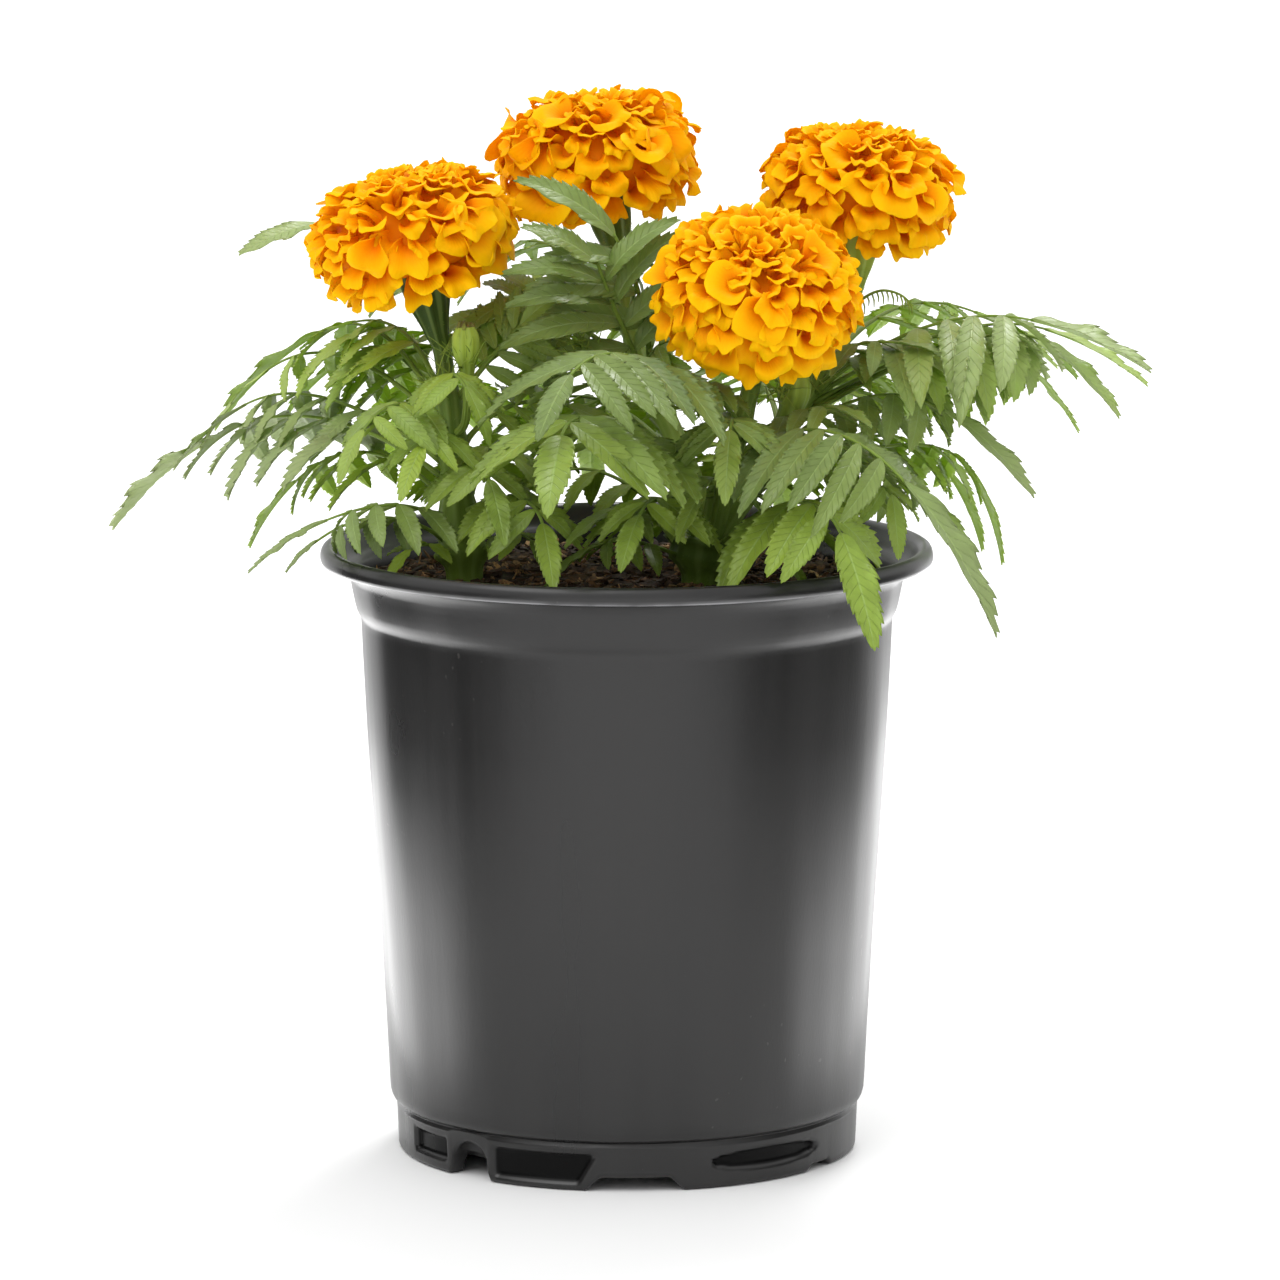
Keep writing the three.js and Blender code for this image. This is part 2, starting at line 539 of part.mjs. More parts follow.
function leafGeometry(leaf) {
  const { stem, from, mid, tip, pairs, length, end, droop } = leaf;
  const { face = [0, 0, 1], roll = LEAFLET_ROLL } = leaf;
  const base = besideStem(stem, from, vec(mid), PETIOLE_OFFSET);
  const control = vec(mid).multiplyScalar(2).addScaledVector(base, -0.5).addScaledVector(vec(tip), -0.5);
  const rachis = new THREE.QuadraticBezierCurve3(base, control, vec(tip));
  const span = rachis.getLength();
  const points = [];
  const faces = [];
  const add = (p) => points.push(p) - 1;

  const frameAt = (t) => {
    const along = rachis.getTangent(t);
    const side = vec(face).cross(along).normalize();
    return { at: rachis.getPoint(t), along, side, up: along.clone().cross(side) };
  };
  const station = (t) => {
    const { at, side, up } = frameAt(t);
    const taper = rachisTaper(t);
    return {
      left: add(at.clone().addScaledVector(side, RACHIS_HALF_WIDTH * taper)),
      right: add(at.clone().addScaledVector(side, -RACHIS_HALF_WIDTH * taper)),
      keel: add(at.clone().addScaledVector(up, -RACHIS_DEPTH * taper)),
    };
  };

  // One leaflet: thick at the midrib, folded up to both edges, arched down to its point. Its
  // root is the edge of the rachis between two stations, and the rib's two root points.
  const addLeaflet = (leaflet) => {
    const { root, heading, up, size, width, lean, arch } = leaflet;
    const across = up.clone().cross(heading).normalize(); // towards rootLeft
    const half = width / 2;
    const spot = (q, sideways, lift) => {
      const bend = lean + arch * q;
      const forward = (Math.sin(bend) - Math.sin(lean)) / arch;
      const down = (Math.cos(lean) - Math.cos(bend)) / arch;
      const normal = up.clone().multiplyScalar(Math.cos(bend)).addScaledVector(heading, Math.sin(bend));
      return add(root.clone()
        .addScaledVector(heading, size * forward)
        .addScaledVector(up, -size * down)
        .addScaledVector(across, sideways * half)
        .addScaledVector(normal, lift));
    };
    const top = [leaflet.ribTop, spot(RIB_AT, 0, BLADE_THICKNESS / 2)];
    const bottom = [leaflet.ribBottom, spot(RIB_AT, 0, -BLADE_THICKNESS / 2)];
    const point = spot(1, 0, 0);
    for (const hand of [1, -1]) {
      const edge = [
        hand > 0 ? leaflet.rootLeft : leaflet.rootRight,
        ...LEAFLET_EDGE.map(([q, share]) => spot(q, hand * share, share * half * LEAFLET_FOLD)),
        point,
      ];
      const fan = (rib) => {
        const face = [[rib[0], rib[1], edge[1]], [rib[0], edge[1], edge[0]]];
        for (let i = 1; i + 1 < edge.length; i++) face.push([rib[1], edge[i + 1], edge[i]]);
        return face;
      };
      faces.push(...fan(top).map(([a, b, c]) => (hand > 0 ? [a, b, c] : [a, c, b])));
      faces.push(...fan(bottom).map(([a, b, c]) => (hand > 0 ? [a, c, b] : [a, b, c])));
    }
  };

  const first = station(0);
  faces.push([first.right, first.left, first.keel]);
  let before = first;
  const bareTo = (here) => {
    faces.push([before.left, before.right, here.right], [before.left, here.right, here.left]);
    faces.push([before.left, here.left, here.keel], [before.left, here.keel, before.keel]);
    faces.push([here.right, before.right, before.keel], [here.right, before.keel, here.keel]);
    before = here;
  };
  const step = LEAFLETS_SPAN / pairs;
  for (let i = 0; i < pairs; i++) {
    const t = LEAFLETS_FROM + step * (i + 0.3);
    const a = station(t - NECK / span);
    bareTo(a);
    const b = station(t + NECK / span);
    const { at, along, side, up } = frameAt(t);
    const spread = THREE.MathUtils.degToRad(SPREAD_AT_BASE - SPREAD_LOSS * t);
    const neck = {};
    for (const hand of [1, -1]) {
      const outFrom = RACHIS_HALF_WIDTH * rachisTaper(t) + NECK_STEP;
      const edgePoint = at.clone().addScaledVector(side, hand * outFrom);
      const top = add(edgePoint.clone().addScaledVector(up, NECK_TOP));
      const bottom = add(edgePoint.clone().addScaledVector(up, -NECK_BOTTOM));
      const heading = along.clone().multiplyScalar(Math.cos(spread))
        .addScaledVector(side, hand * Math.sin(spread));
      const rolled = up.clone().addScaledVector(along, roll);
      rolled.addScaledVector(heading, -rolled.dot(heading)).normalize();
      const size = length * leafletShare(t);
      const room = LEAFLET_CROWDING * step * span * Math.sin(spread);
      const width = Math.min(size * LEAFLET_SLENDERNESS, room);
      const [rootLeft, rootRight] = hand > 0 ? [a.left, b.left] : [b.right, a.right];
      addLeaflet({ root: edgePoint, heading, up: rolled, size, width, lean: droop,
        arch: LEAFLET_ARCH, rootLeft, rootRight, ribTop: top, ribBottom: bottom });
      neck[hand] = { top, bottom };
    }
    const [L, R] = [neck[1], neck[-1]];
    faces.push([a.left, a.right, R.top], [a.left, R.top, L.top]);
    faces.push([L.top, R.top, b.right], [L.top, b.right, b.left]);
    faces.push([a.left, L.bottom, a.keel], [L.bottom, b.keel, a.keel], [L.bottom, b.left, b.keel]);
    faces.push([b.right, R.bottom, b.keel], [R.bottom, a.keel, b.keel], [R.bottom, a.right, a.keel]);
    before = b;
  }
  const tipStation = station(1);
  bareTo(tipStation);
  const { at, along, up } = frameAt(1);
  const crest = add(at.clone().addScaledVector(along, CREST_AHEAD).addScaledVector(up, NECK_TOP));
  faces.push([tipStation.left, tipStation.right, crest]);
  addLeaflet({ root: at, heading: along, up, size: end, width: end * LEAFLET_SLENDERNESS,
    lean: 0, arch: END_ARCH, rootLeft: tipStation.left, rootRight: tipStation.right,
    ribTop: crest, ribBottom: tipStation.keel });
  return geometryOf(points, faces);
}

// ---------------------------------------------------------------- assembly

const plant = new THREE.Group();

function addPiece(name, geometry, look) {
  const mesh = new THREE.Mesh(geometry, look);
  mesh.name = name;
  plant.add(mesh);
}

addPiece("pot", potGeometry(), finish.pot);
addPiece("soil", soilGeometry(), finish.soil);
addPiece("stem_left", tube(LEFT_STEM), finish.stem);
addPiece("stem_right", rightStemGeometry(), finish.stem);
Object.entries(BLOOMS).forEach(([name, bloom], i) => {
  addPiece(name, bloomGeometry(bloom, FIRST_SEED + i), finish.petal);
});
Object.entries(BUDS).forEach(([name, bud]) => addPiece(name, budGeometry(bud), finish.stem));
Object.entries(LEAVES).forEach(([name, leaf]) => addPiece(name, leafGeometry(leaf), finish.leaf));

export default plant;
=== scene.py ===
"""Potted marigold: smooth moulded pot, soil with bark chips, ribbed stems, toothed leaflets and
ruffled double blooms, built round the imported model. Shapes are worked out in millimetres in the
model's own frame (+Z up, the viewer on the -Y side) and turned into metres when a piece is made."""

import math
from collections import namedtuple

import bpy
import numpy as np
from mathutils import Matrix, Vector, noise


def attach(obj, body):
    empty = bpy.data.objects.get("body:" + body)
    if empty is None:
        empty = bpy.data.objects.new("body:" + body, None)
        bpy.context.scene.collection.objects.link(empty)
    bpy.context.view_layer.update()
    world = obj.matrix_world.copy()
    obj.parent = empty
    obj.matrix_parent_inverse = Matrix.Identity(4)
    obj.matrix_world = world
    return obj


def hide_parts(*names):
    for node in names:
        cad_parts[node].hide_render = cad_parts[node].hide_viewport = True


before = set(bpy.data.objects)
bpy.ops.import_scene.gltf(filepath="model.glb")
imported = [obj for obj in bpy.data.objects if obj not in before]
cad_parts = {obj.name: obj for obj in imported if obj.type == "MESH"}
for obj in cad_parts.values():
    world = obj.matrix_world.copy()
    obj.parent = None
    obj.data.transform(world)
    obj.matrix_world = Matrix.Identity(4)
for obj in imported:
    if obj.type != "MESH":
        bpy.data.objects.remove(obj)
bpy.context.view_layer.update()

MM = 0.001
BODY = "root"
DATA_NAME = "place"  # per vertex: place across a piece, place along it, tint; on the pot: how far sunken (for painted shade in the panels), and a painted highlight line under the lip
GOLDEN_TURN = math.pi * (3 - math.sqrt(5))
FULL_TURN = 2 * math.pi
UP = np.array([0.0, 0.0, 1.0])

# ---- plant layout

# Heads: centre, axis, radius.
BLOOMS = {
    "bloom_left": ((-57.5, 0, 248.8), (-0.23, -0.12, 0.966), 28.6),
    "bloom_back": ((-8, 30, 266.5), (-0.2, -0.05, 0.98), 28.4),
    "bloom_front": ((34.4, -35, 237.9), (0.05, -0.5, 0.865), 28.6),
    "bloom_right": ((62.6, 5, 260.3), (0.08, -0.1, 0.99), 27.4),
}
# The back head sits more level on its stalk than the stalk's own lean.
HEAD_AXES = {"bloom_back": (-0.08, -0.08, 0.99)}
CALYX = [(36, 2.4), (28, 3.3), (20, 5.2), (14.5, 6.0), (10.4, 6.3)]  # below the head's centre, radius


def with_calyx(bloom, branch):
    """A branch's points, then those of the funnel under its bloom."""
    centre, axis, _ = BLOOMS[bloom]
    up = np.array(axis) / np.linalg.norm(axis)
    return branch + [(*(np.array(centre) - below * up), radius) for below, radius in CALYX]


# Points of each stem and branch: x, y, z, radius.
LEFT_STEM = with_calyx("bloom_left", [
    (-43.5, -12, 135, 4.6), (-43.5, -12, 158, 4.8), (-44.5, -11, 167, 5.4),
    (-45, -10, 173, 3.9), (-46.5, -7, 192, 3.1),
])
TRUNK = [(20, -15, 135, 5), (20, -15, 158, 5.1), (21.5, -14, 168, 5.2)]
FORK = (21.5, -14, 164, 4)
FRONT_BRANCH = with_calyx("bloom_front", [FORK, (25, -16, 180, 3.2)])
RIGHT_BRANCH = with_calyx("bloom_right", [FORK, (38, -7, 190, 3.1), (52, 4, 210, 2.6)])
BACK_BRANCH = with_calyx("bloom_back", [FORK, (14, 2, 190, 3.1), (3, 20, 212, 2.6)])
STEMS = {"left": LEFT_STEM, "trunk": TRUNK, "front": FRONT_BRANCH, "right": RIGHT_BRANCH,
         "back": BACK_BRANCH}

# Buds: stem, height of the stalk on it, the stalk's radius there, further points with radii.
BUDS = {
    "bud_left": (LEFT_STEM, 194, 1.2, [
        (-43.2, -12.3, 199, 1.1), (-42.4, -14.5, 208, 1.4), (-42.6, -15, 214, 2.2),
        (-42.8, -15, 218, 3.5), (-42.9, -15, 222, 3.7), (-43, -15, 225, 2.5)]),
    "bud_front": (FRONT_BRANCH, 190.5, 1.2, [
        (39, -14, 197, 1.6), (43, -17, 202, 2.8), (44.5, -18, 207, 4),
        (45, -18.5, 211, 3.8), (45.2, -18.6, 213.5, 2.2)]),
}

# One row a leaf: name without its prefix, stem, height of the petiole on it, rachis point half way,
# rachis tip, pairs, longest leaflet, end leaflet, droop, tone (0 deep green, 1 yellow green) and
# grey (mixed in: partly a grey bloom, partly painted sheen).
LEAF_ROWS = """
left_far left 184  -82 6 198  -112 20 191  5 33 44  0.2 0.25 0.9
left_top left 204  -60 46 237  -85 46 246  3 18 27  0.2 0.3 0.4
left_arch left 200  -66 13 220  -84 23 219  3 26 40  0.3 0.75 0
left_upper left 203  -35 -4 217  -28 -7 225  4 17.5 18  0.2 0.45 0.1
left_gap left 182  -34 14 191  -24 24 190  3 17 18  0.3 0.8 0
left_low left 170  -60 -34 180  -80 -44 177  4 19 25  0.4 0.3 0.3
left_under left 177  -70 19 187  -91 30 177  4 22 24  0.3 0.9 0
left_front left 196  -60 -26 206  -70 -40 200  4 19 18  0.4 0.6 0.1
left_back left 190  -50 46 203  -58 76 195  5 29 32  0.3 0.9 0
left_back_low left 172  -40 34 182  -44 64 172  4 22 26  0.2 0.8 0
left_centre left 175  -29 -33 182  -22 -53 177  4 21 22  0.4 0.5 0
front_upper front 199  2 -46 221  -15 -74 219  6 40 26  0.2 0.1 0.25
front_lower front 180  -5 -47 204  -17 -80 204  5 38 34  0.3 0.4 0.1
rising back 200  -1 -8 224  -8 -18 243  4 34 30  -0.4 0.15 0.2
centre_high back 222  4 10 238  8 0 245  3 14 15  0.2 0.3 0.8
fork back 176  26 6 189  26 22 193  3 16 18  0.3 0.8 0
small back 208  -15 12 221  -21 3 230  3 18 18  0.2 0.2 0.5
centre_back back 200  -11 38 211  -22 58 206  4 21 24  0.3 0.8 0
centre_low trunk 167  -4 -6 184  -22 -5 183  3 20 22  0.3 0.6 0
right_front front 188  50 -48 202  73 -66 190  6 36 44  0.35 0.2 0.3
right_low trunk 166  44 -50 183  56 -72 177  4 30 36  0.45 0.55 0
right_far right 206  80 -12 225  108 -25 228  5 39 41  0.35 0.4 0.3
right_mid right 192  64 -12 206  85 -20 203  4 23 32  0.4 0.3 0.3
right_behind right 180  66 22 191  88 36 179  4 25 26  0.3 0.9 0
right_back right 214  74 32 225  96 44 222  4 26 30  0.3 0.8 0
back_right right 198  54 46 208  70 74 198  5 28 30  0.3 0.6 0.1
back_upper back 214  10 62 224  18 88 216  5 29 32  0.3 0.5 0.2
back_lower back 184  -4 50 196  -10 80 186  5 27 28  0.3 0.6 0.1
back_low_right trunk 167  34 38 184  42 70 174  4 24 26  0.3 0.6 0
left_inner left 192  -31 1 202  -15 5 201  4 18 20  0.2 0.5 0.1
right_inner right 186  58 -9 189  78 -18 180  4 19 24  0.2 0.5 0.1
back_high back 222  -18 54 238  -32 62 238  3 18 22  0.2 0.5 0.2
front_bottom trunk 167  10 -38 182  3 -58 180  4 22 22  0.35 0.5 0
low_left left 164  -53 -24 168  -58 -32 167  1 13 13  0.1 0.7 0
low_centre_left left 163  -31 -21 170  -25 -28 169  2 15 16  0.1 0.6 0
low_centre trunk 162  2 -26 169  -9 -31 168  3 16 18  0.2 0.3 0
low_right trunk 162  33 -28 169  40 -35 168  2 15 16  0.1 0.4 0
low_back trunk 163  16 10 170  12 26 169  3 18 18  0.1 0.5 0"""
# Young leaves inside the bush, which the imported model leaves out.
YOUNG_ROWS = """
arch left 198  -62 22 213  -79 36 209  4 24 26  0.6 0.9 0
fork right 196  37 22 205  28 40 207  4 20 22  0.3 0.9 0
right right 198  56 16 207  60 34 205  3 18 20  0.3 0.9 0
right_low right 184  74 12 190  93 20 182  4 24 28  0.3 1 0
right_high right 204  84 5 217  105 9 214  4 26 28  0.5 0.9 0
rim left 168  -66 -22 175  -83 -28 169  3 14 16  0.5 0.2 0.4
left left 184  -38 -18 193  -29 -30 191  3 16 17  0.3 0.5 0.1
left_back left 208  -52 20 218  -58 40 216  4 20 22  0.3 0.9 0
centre trunk 165  8 -26 178  -4 -38 179  3 19 20  0.3 0.35 0.1
centre_back back 190  -6 26 200  -24 34 198  4 21 22  0.3 0.9 0
middle front 194  18 -30 207  8 -40 211  3 18 20  0.1 0.3 0.2
right_front front 196  46 -28 204  56 -38 206  3 17 18  0.2 0.4 0.2
right_inner right 212  60 -14 220  72 -24 222  3 19 20  0.3 0.35 0.3
stem_high left 206  -46 -26 214  -42 -38 211  3 17 19  0.45 0.6 0
stem_mid left 190  -50 -26 198  -54 -38 196  3 18 20  0.4 0.7 0
stem_low left 180  -40 -28 190  -36 -42 187  4 20 22  0.35 0.5 0.1
front_high front 196  28 -42 204  27 -56 202  4 22 24  0.35 0.4 0.15
front_low trunk 167.5  24 -36 186  20 -50 186  4 18 20  0.3 0.35 0.1
rim_right trunk 167  58 -34 184  70 -44 183  4 17 18  0.35 0.5 0
far_right right 206  86 0 222  113 -4 223  3 30 31  0.5 0.8 0
far_low right 200  89 2 219  113 -2 219  4 26 30  0.5 0.5 0.1
far_back right 202  88 6 219  108 4 221  4 28 22  0.7 1 0
left_far left 188  -80 8 203  -104 16 200  4 21 26  0.35 0.4 0.6
upper_left back 210  -20 8 227  -32 4 230  3 20 24  0.1 0.4 0.1
left_mid left 198  -76 12 214  -98 18 209  3 19 29  0.5 0.9 0
left_top left 206  -60 8 221  -74 14 223  3 21 17  0.4 0.9 0
gap back 200  6 4 214  12 -2 220  3 16 18  0.2 0.4 0.1
front_top front 200  22 -30 211  16 -40 213  3 18 20  0.2 0.4 0.1
right_gap right 208  64 -4 217  74 -8 218  3 20 22  0.25 0.5 0.2
upper back 206  -22 10 222  -36 10 226  3 22 26  0.2 0.5 0.1
crest back 206  4 -6 230  -3.5 -16 250  3 30 30  -0.4 0.1 0.15"""

LEAF_FIELDS = ("stem", "height", "mid", "tip", "pairs", "longest", "end", "droop", "tone", "frost")
# Fields that only some leaves set: the way the leaf faces, the roll of its leaflets towards its tip
# and how far they arch, the way and arch of the end leaflet, and the sides that bear leaflets.
LEAF_DEFAULTS = {"face": (0, 0, 1), "roll": 0.38, "arch": 0.65, "end_way": None, "end_arch": 0.4,
                 "hands": (1, -1)}
LEAF_WAYS = {
    "leaf_left_top": {"face": (-0.3, -0.5, 0.8)},
    "leaf_left_upper": {"face": (0.1, -0.7, 0.6)},
    "leaf_rising": {"face": (-0.1, -0.9, 0.4), "roll": 2.8, "arch": 1.3,
                    "end_way": (-0.7, -0.2, 0.68), "end_arch": 1.0},
    "leaf_centre_high": {"face": (0.3, -0.6, 0.7)},
    "leaf_small": {"face": (-0.2, -0.6, 0.7)},
    "leaf_left_inner": {"face": (0.2, -0.5, 0.8)},
    "leaf_right_inner": {"face": (0.2, -0.4, 0.8)},
    "young_upper_left": {"face": (-0.1, -0.5, 0.8)},
    "young_gap": {"face": (0.1, -0.6, 0.8)},
    "young_upper": {"face": (-0.1, -0.5, 0.8)},
    "young_crest": {"face": (-0.1, -0.9, 0.4), "roll": 2.4, "arch": 1.1,
                    "end_way": (-0.62, -0.18, 0.76), "end_arch": 0.9, "hands": (1,)},
}
Leaf = namedtuple("Leaf", (*LEAF_FIELDS, *LEAF_DEFAULTS))


def read_leaves(prefix, rows):
    """The leaves of a table, by name."""
    leaves = {}
    for row in rows.strip().splitlines():
        name, stem, *cells = row.split()
        height, mx, my, mz, tx, ty, tz, pairs, *rest = map(float, cells)
        name = prefix + name
        fields = (STEMS[stem], height, np.array((mx, my, mz)), np.array((tx, ty, tz)), int(pairs), *rest)
        ways = {**LEAF_DEFAULTS, **LEAF_WAYS.get(name, {})}
        leaves[name] = Leaf(*fields, **ways)
    return leaves


LEAVES = read_leaves("leaf_", LEAF_ROWS)
YOUNG_LEAVES = read_leaves("young_", YOUNG_ROWS)

# ---- mesh helpers


def unit(v):
    """v, or each row of it, at length 1."""
    v = np.asarray(v, float)
    return v / np.maximum(np.linalg.norm(v, axis=-1, keepdims=True), 1e-9)


def square_to(v, axis):
    """v turned square to a unit axis, at length 1."""
    return unit(v - (v @ axis) * axis)


def smooth(low, high, x):
    """0 below low, 1 above high, and a smooth step between them."""
    t = np.clip((np.asarray(x, float) - low) / (high - low), 0, 1)
    return t * t * (3 - 2 * t)


def turns(count):
    """Angles of count points round a ring."""
    return np.arange(count) * FULL_TURN / count


def flat_way(angle):
    """The level unit vector at an angle."""
    return np.array([math.cos(angle), math.sin(angle), 0])


class Shape:
    """Closed bodies collected for one piece: points in mm, faces, and data for each point."""

    def __init__(self):
        self.points, self.faces, self.data, self.count = [], [], [], 0

    def add(self, points, faces, data):
        self.points.append(np.asarray(points, float))
        self.faces.extend(tuple(int(i) + self.count for i in face) for face in faces)
        self.data.append(np.broadcast_to(data, (len(points), 3)))
        self.count += len(points)

    def add_sheet(self, top, bottom, data, bottom_data=None):
        """A thin closed sheet between two grids of points, rows by columns."""
        rows, columns = top.shape[:2]
        under = rows * columns
        index = np.arange(under).reshape(rows, columns)
        a, b = index[:-1, :-1].ravel(), index[1:, :-1].ravel()
        c, d = index[1:, 1:].ravel(), index[:-1, 1:].ravel()
        faces = list(zip(a, b, c, d)) + list(zip(d + under, c + under, b + under, a + under))
        rim = np.concatenate([index[0, :-1], index[:-1, -1], index[-1, :0:-1], index[:0:-1, 0]])
        after = np.roll(rim, -1)
        faces += list(zip(rim, after, after + under, rim + under))
        points = np.concatenate([top.reshape(-1, 3), bottom.reshape(-1, 3)])
        sides = (data, data if bottom_data is None else bottom_data)
        self.add(points, faces, np.concatenate([side.reshape(-1, 3) for side in sides]))

    def add_rings(self, rings, data):
        """A closed tube through rings of points, rings by sides."""
        count, sides = rings.shape[:2]
        index = np.arange(count * sides).reshape(count, sides)
        turned = np.roll(index, -1, axis=1)
        faces = list(zip(index[:-1].ravel(), turned[:-1].ravel(), turned[1:].ravel(), index[1:].ravel()))
        faces += [tuple(index[0][::-1]), tuple(index[-1])]
        data = np.broadcast_to(data, (count, sides, 3))
        self.add(rings.reshape(-1, 3), faces, data.reshape(-1, 3))

    def add_turned(self, rows, data, last):
        """A turned wall: rings joined in a closed loop, but for row last and the next, each capped."""
        count, sides = len(rows), len(rows[0])
        index = np.arange(count * sides).reshape(count, sides)
        turned = np.roll(index, -1, axis=1)
        faces = []
        for r in range(count):
            after = (r + 1) % count
            if r == last:
                faces += [tuple(index[r][::-1]), tuple(index[after])]
            else:
                faces += list(zip(index[r], index[after], turned[after], turned[r]))
        self.add(np.concatenate(rows), faces, np.concatenate(data))

    def add_tube(self, path, radii, sides, tint):
        """A plain tube round a path, with tube data."""
        rings = tube_rings(path, radii, sides)
        self.add_rings(rings, ring_data(rings, tint))

    def make(self, name, material, slot, *nodes, smooth_faces=True):
        """The piece as a Blender object that rides on the body and stands for the nodes."""
        mesh = bpy.data.meshes.new(name)
        mesh.from_pydata((np.concatenate(self.points) * MM).tolist(), [], self.faces)
        data = np.concatenate(self.data).astype(np.float32)
        attribute = mesh.attributes.new(DATA_NAME, "FLOAT_VECTOR", "POINT")
        attribute.data.foreach_set("vector", data.ravel())
        mesh.polygons.foreach_set("use_smooth", [smooth_faces] * len(mesh.polygons))
        mesh.materials.append(material)
        mesh.update()
        piece = show(name, mesh)
        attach(piece, BODY)
        if nodes:
            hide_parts(*nodes)


def show(name, data):
    """A new object in the scene."""
    made = bpy.data.objects.new(name, data)
    bpy.context.scene.collection.objects.link(made)
    return made


def frames_along(points):
    """Tangent, side and normal at each point of a path, turned as little as possible."""
    tangents = unit(np.gradient(np.asarray(points, float), axis=0))
    side = unit(np.cross(UP if abs(tangents[0] @ UP) < 0.9 else (0, 1, 0), tangents[0]))
    sides = []
    for tangent in tangents:
        side = square_to(side, tangent)
        sides.append(side)
    sides = np.array(sides)
    return tangents, sides, np.cross(tangents, sides)


def smooth_path(points, steps):
    """A Catmull-Rom line through rows of numbers, with steps to a stretch."""
    rows = np.asarray(points, float)
    padded = np.vstack([2 * rows[0] - rows[1], rows, 2 * rows[-1] - rows[-2]])
    out = []
    for i in range(len(rows) - 1):
        p0, p1, p2, p3 = padded[i:i + 4]
        for t in np.arange(steps) / steps:
            out.append(0.5 * (2 * p1 + (p2 - p0) * t + (2 * p0 - 5 * p1 + 4 * p2 - p3) * t ** 2
                              + (3 * p1 - p0 - 3 * p2 + p3) * t ** 3))
    return np.array(out + [rows[-1]])


def tube_rings(path, radii, sides, ribs=0, rib_depth=0.0):
    """Rings round a path; ribs run along it."""
    _, across, normal = frames_along(path)
    turn = turns(sides)
    swell = 1 + rib_depth * np.cos(ribs * turn)[None, :]
    radii = np.asarray(radii, float)[:, None] * swell
    return (np.asarray(path)[:, None, :]
            + radii[..., None] * (np.cos(turn)[None, :, None] * across[:, None, :]
                                  + np.sin(turn)[None, :, None] * normal[:, None, :]))


def ring_data(rings, tint):
    """Tube data: turn round it, share of its length, tint."""
    count, sides = rings.shape[:2]
    data = np.full(rings.shape, float(tint))
    data[..., 0] = np.arange(sides)[None, :] / sides
    data[..., 1] = np.linspace(0, 1, count)[:, None]
    return data


# ---- materials


class Nodes:
    """A material's nodes, made and joined in short calls."""

    def __init__(self, name):
        self.material = bpy.data.materials.new(name)
        self.material.use_nodes = True
        self.tree = self.material.node_tree
        self.tree.nodes.clear()
        self.output = self.node("OutputMaterial")

    def set(self, socket, value):
        if isinstance(value, bpy.types.NodeSocket):
            self.tree.links.new(value, socket)
        elif hasattr(socket.default_value, "__len__"):
            length = len(socket.default_value)
            socket.default_value = tuple(value) + (1.0,) * (length - len(value))
        else:
            socket.default_value = value

    def node(self, kind, inputs=None, **settings):
        made = self.tree.nodes.new("ShaderNode" + kind)
        for key, value in settings.items():
            setattr(made, key, value)
        for key, value in (inputs or {}).items():
            self.set(made.inputs[key], value)
        return made

    def math(self, operation, a, b=0.0):
        return self.node("Math", {0: a, 1: b}, operation=operation).outputs[0]

    def add(self, a, b):
        return self.math("ADD", a, b)

    def sub(self, a, b):
        return self.math("SUBTRACT", a, b)

    def mul(self, a, b):
        return self.math("MULTIPLY", a, b)

    def mix(self, factor, a, b):
        return self.node("Mix", {0: factor, 6: a, 7: b}, data_type="RGBA").outputs[2]

    def step(self, value, low, high, out_low=0.0, out_high=1.0):
        ends = {0: value, 1: low, 2: high, 3: out_low, 4: out_high}
        return self.node("MapRange", ends, interpolation_type="SMOOTHSTEP").outputs[0]

    def ramp(self, factor, stops):
        made = self.node("ValToRGB", {0: factor})
        elements = made.color_ramp.elements
        while len(elements) < len(stops):
            elements.new(0.5)
        for element, (position, colour) in zip(elements, stops):
            element.position = position
            element.color = (*colour, 1.0)
        return made.outputs[0]

    def split(self, vector):
        return self.node("SeparateXYZ", {0: vector}).outputs

    def place(self):
        """The piece's own data: across, along, tint."""
        read = self.node("Attribute", attribute_name=DATA_NAME, attribute_type="GEOMETRY")
        return self.split(read.outputs["Vector"])

    def where(self):
        """Place in the model, in metres."""
        return self.node("TexCoord").outputs["Object"]

    def noise(self, scale, detail=2.0, stretch=(1, 1, 1), roughness=0.5):
        mapped = self.node("Mapping", {"Vector": self.where(), "Scale": stretch}).outputs[0]
        settings = {"Vector": mapped, "Scale": scale, "Detail": detail, "Roughness": roughness}
        return self.node("TexNoise", settings).outputs[0]

    def bump(self, height, strength, distance):
        settings = {"Height": height, "Strength": strength, "Distance": distance}
        return self.node("Bump", settings).outputs[0]

    def surface(self, shader):
        self.tree.links.new(shader, self.output.inputs["Surface"])
        return self.material

    def principled(self, **inputs):
        names = {key.replace("_", " "): value for key, value in inputs.items()}
        return self.node("BsdfPrincipled", names).outputs[0]

    def leafy(self, colour, through, share, **inputs):
        """A surface that also lets light through it, tinted."""
        shell = self.principled(Base_Color=colour, **inputs)
        glow = self.node("BsdfTranslucent", {"Color": through}).outputs[0]
        return self.surface(self.node("MixShader", {0: share, 1: shell, 2: glow}).outputs[0])


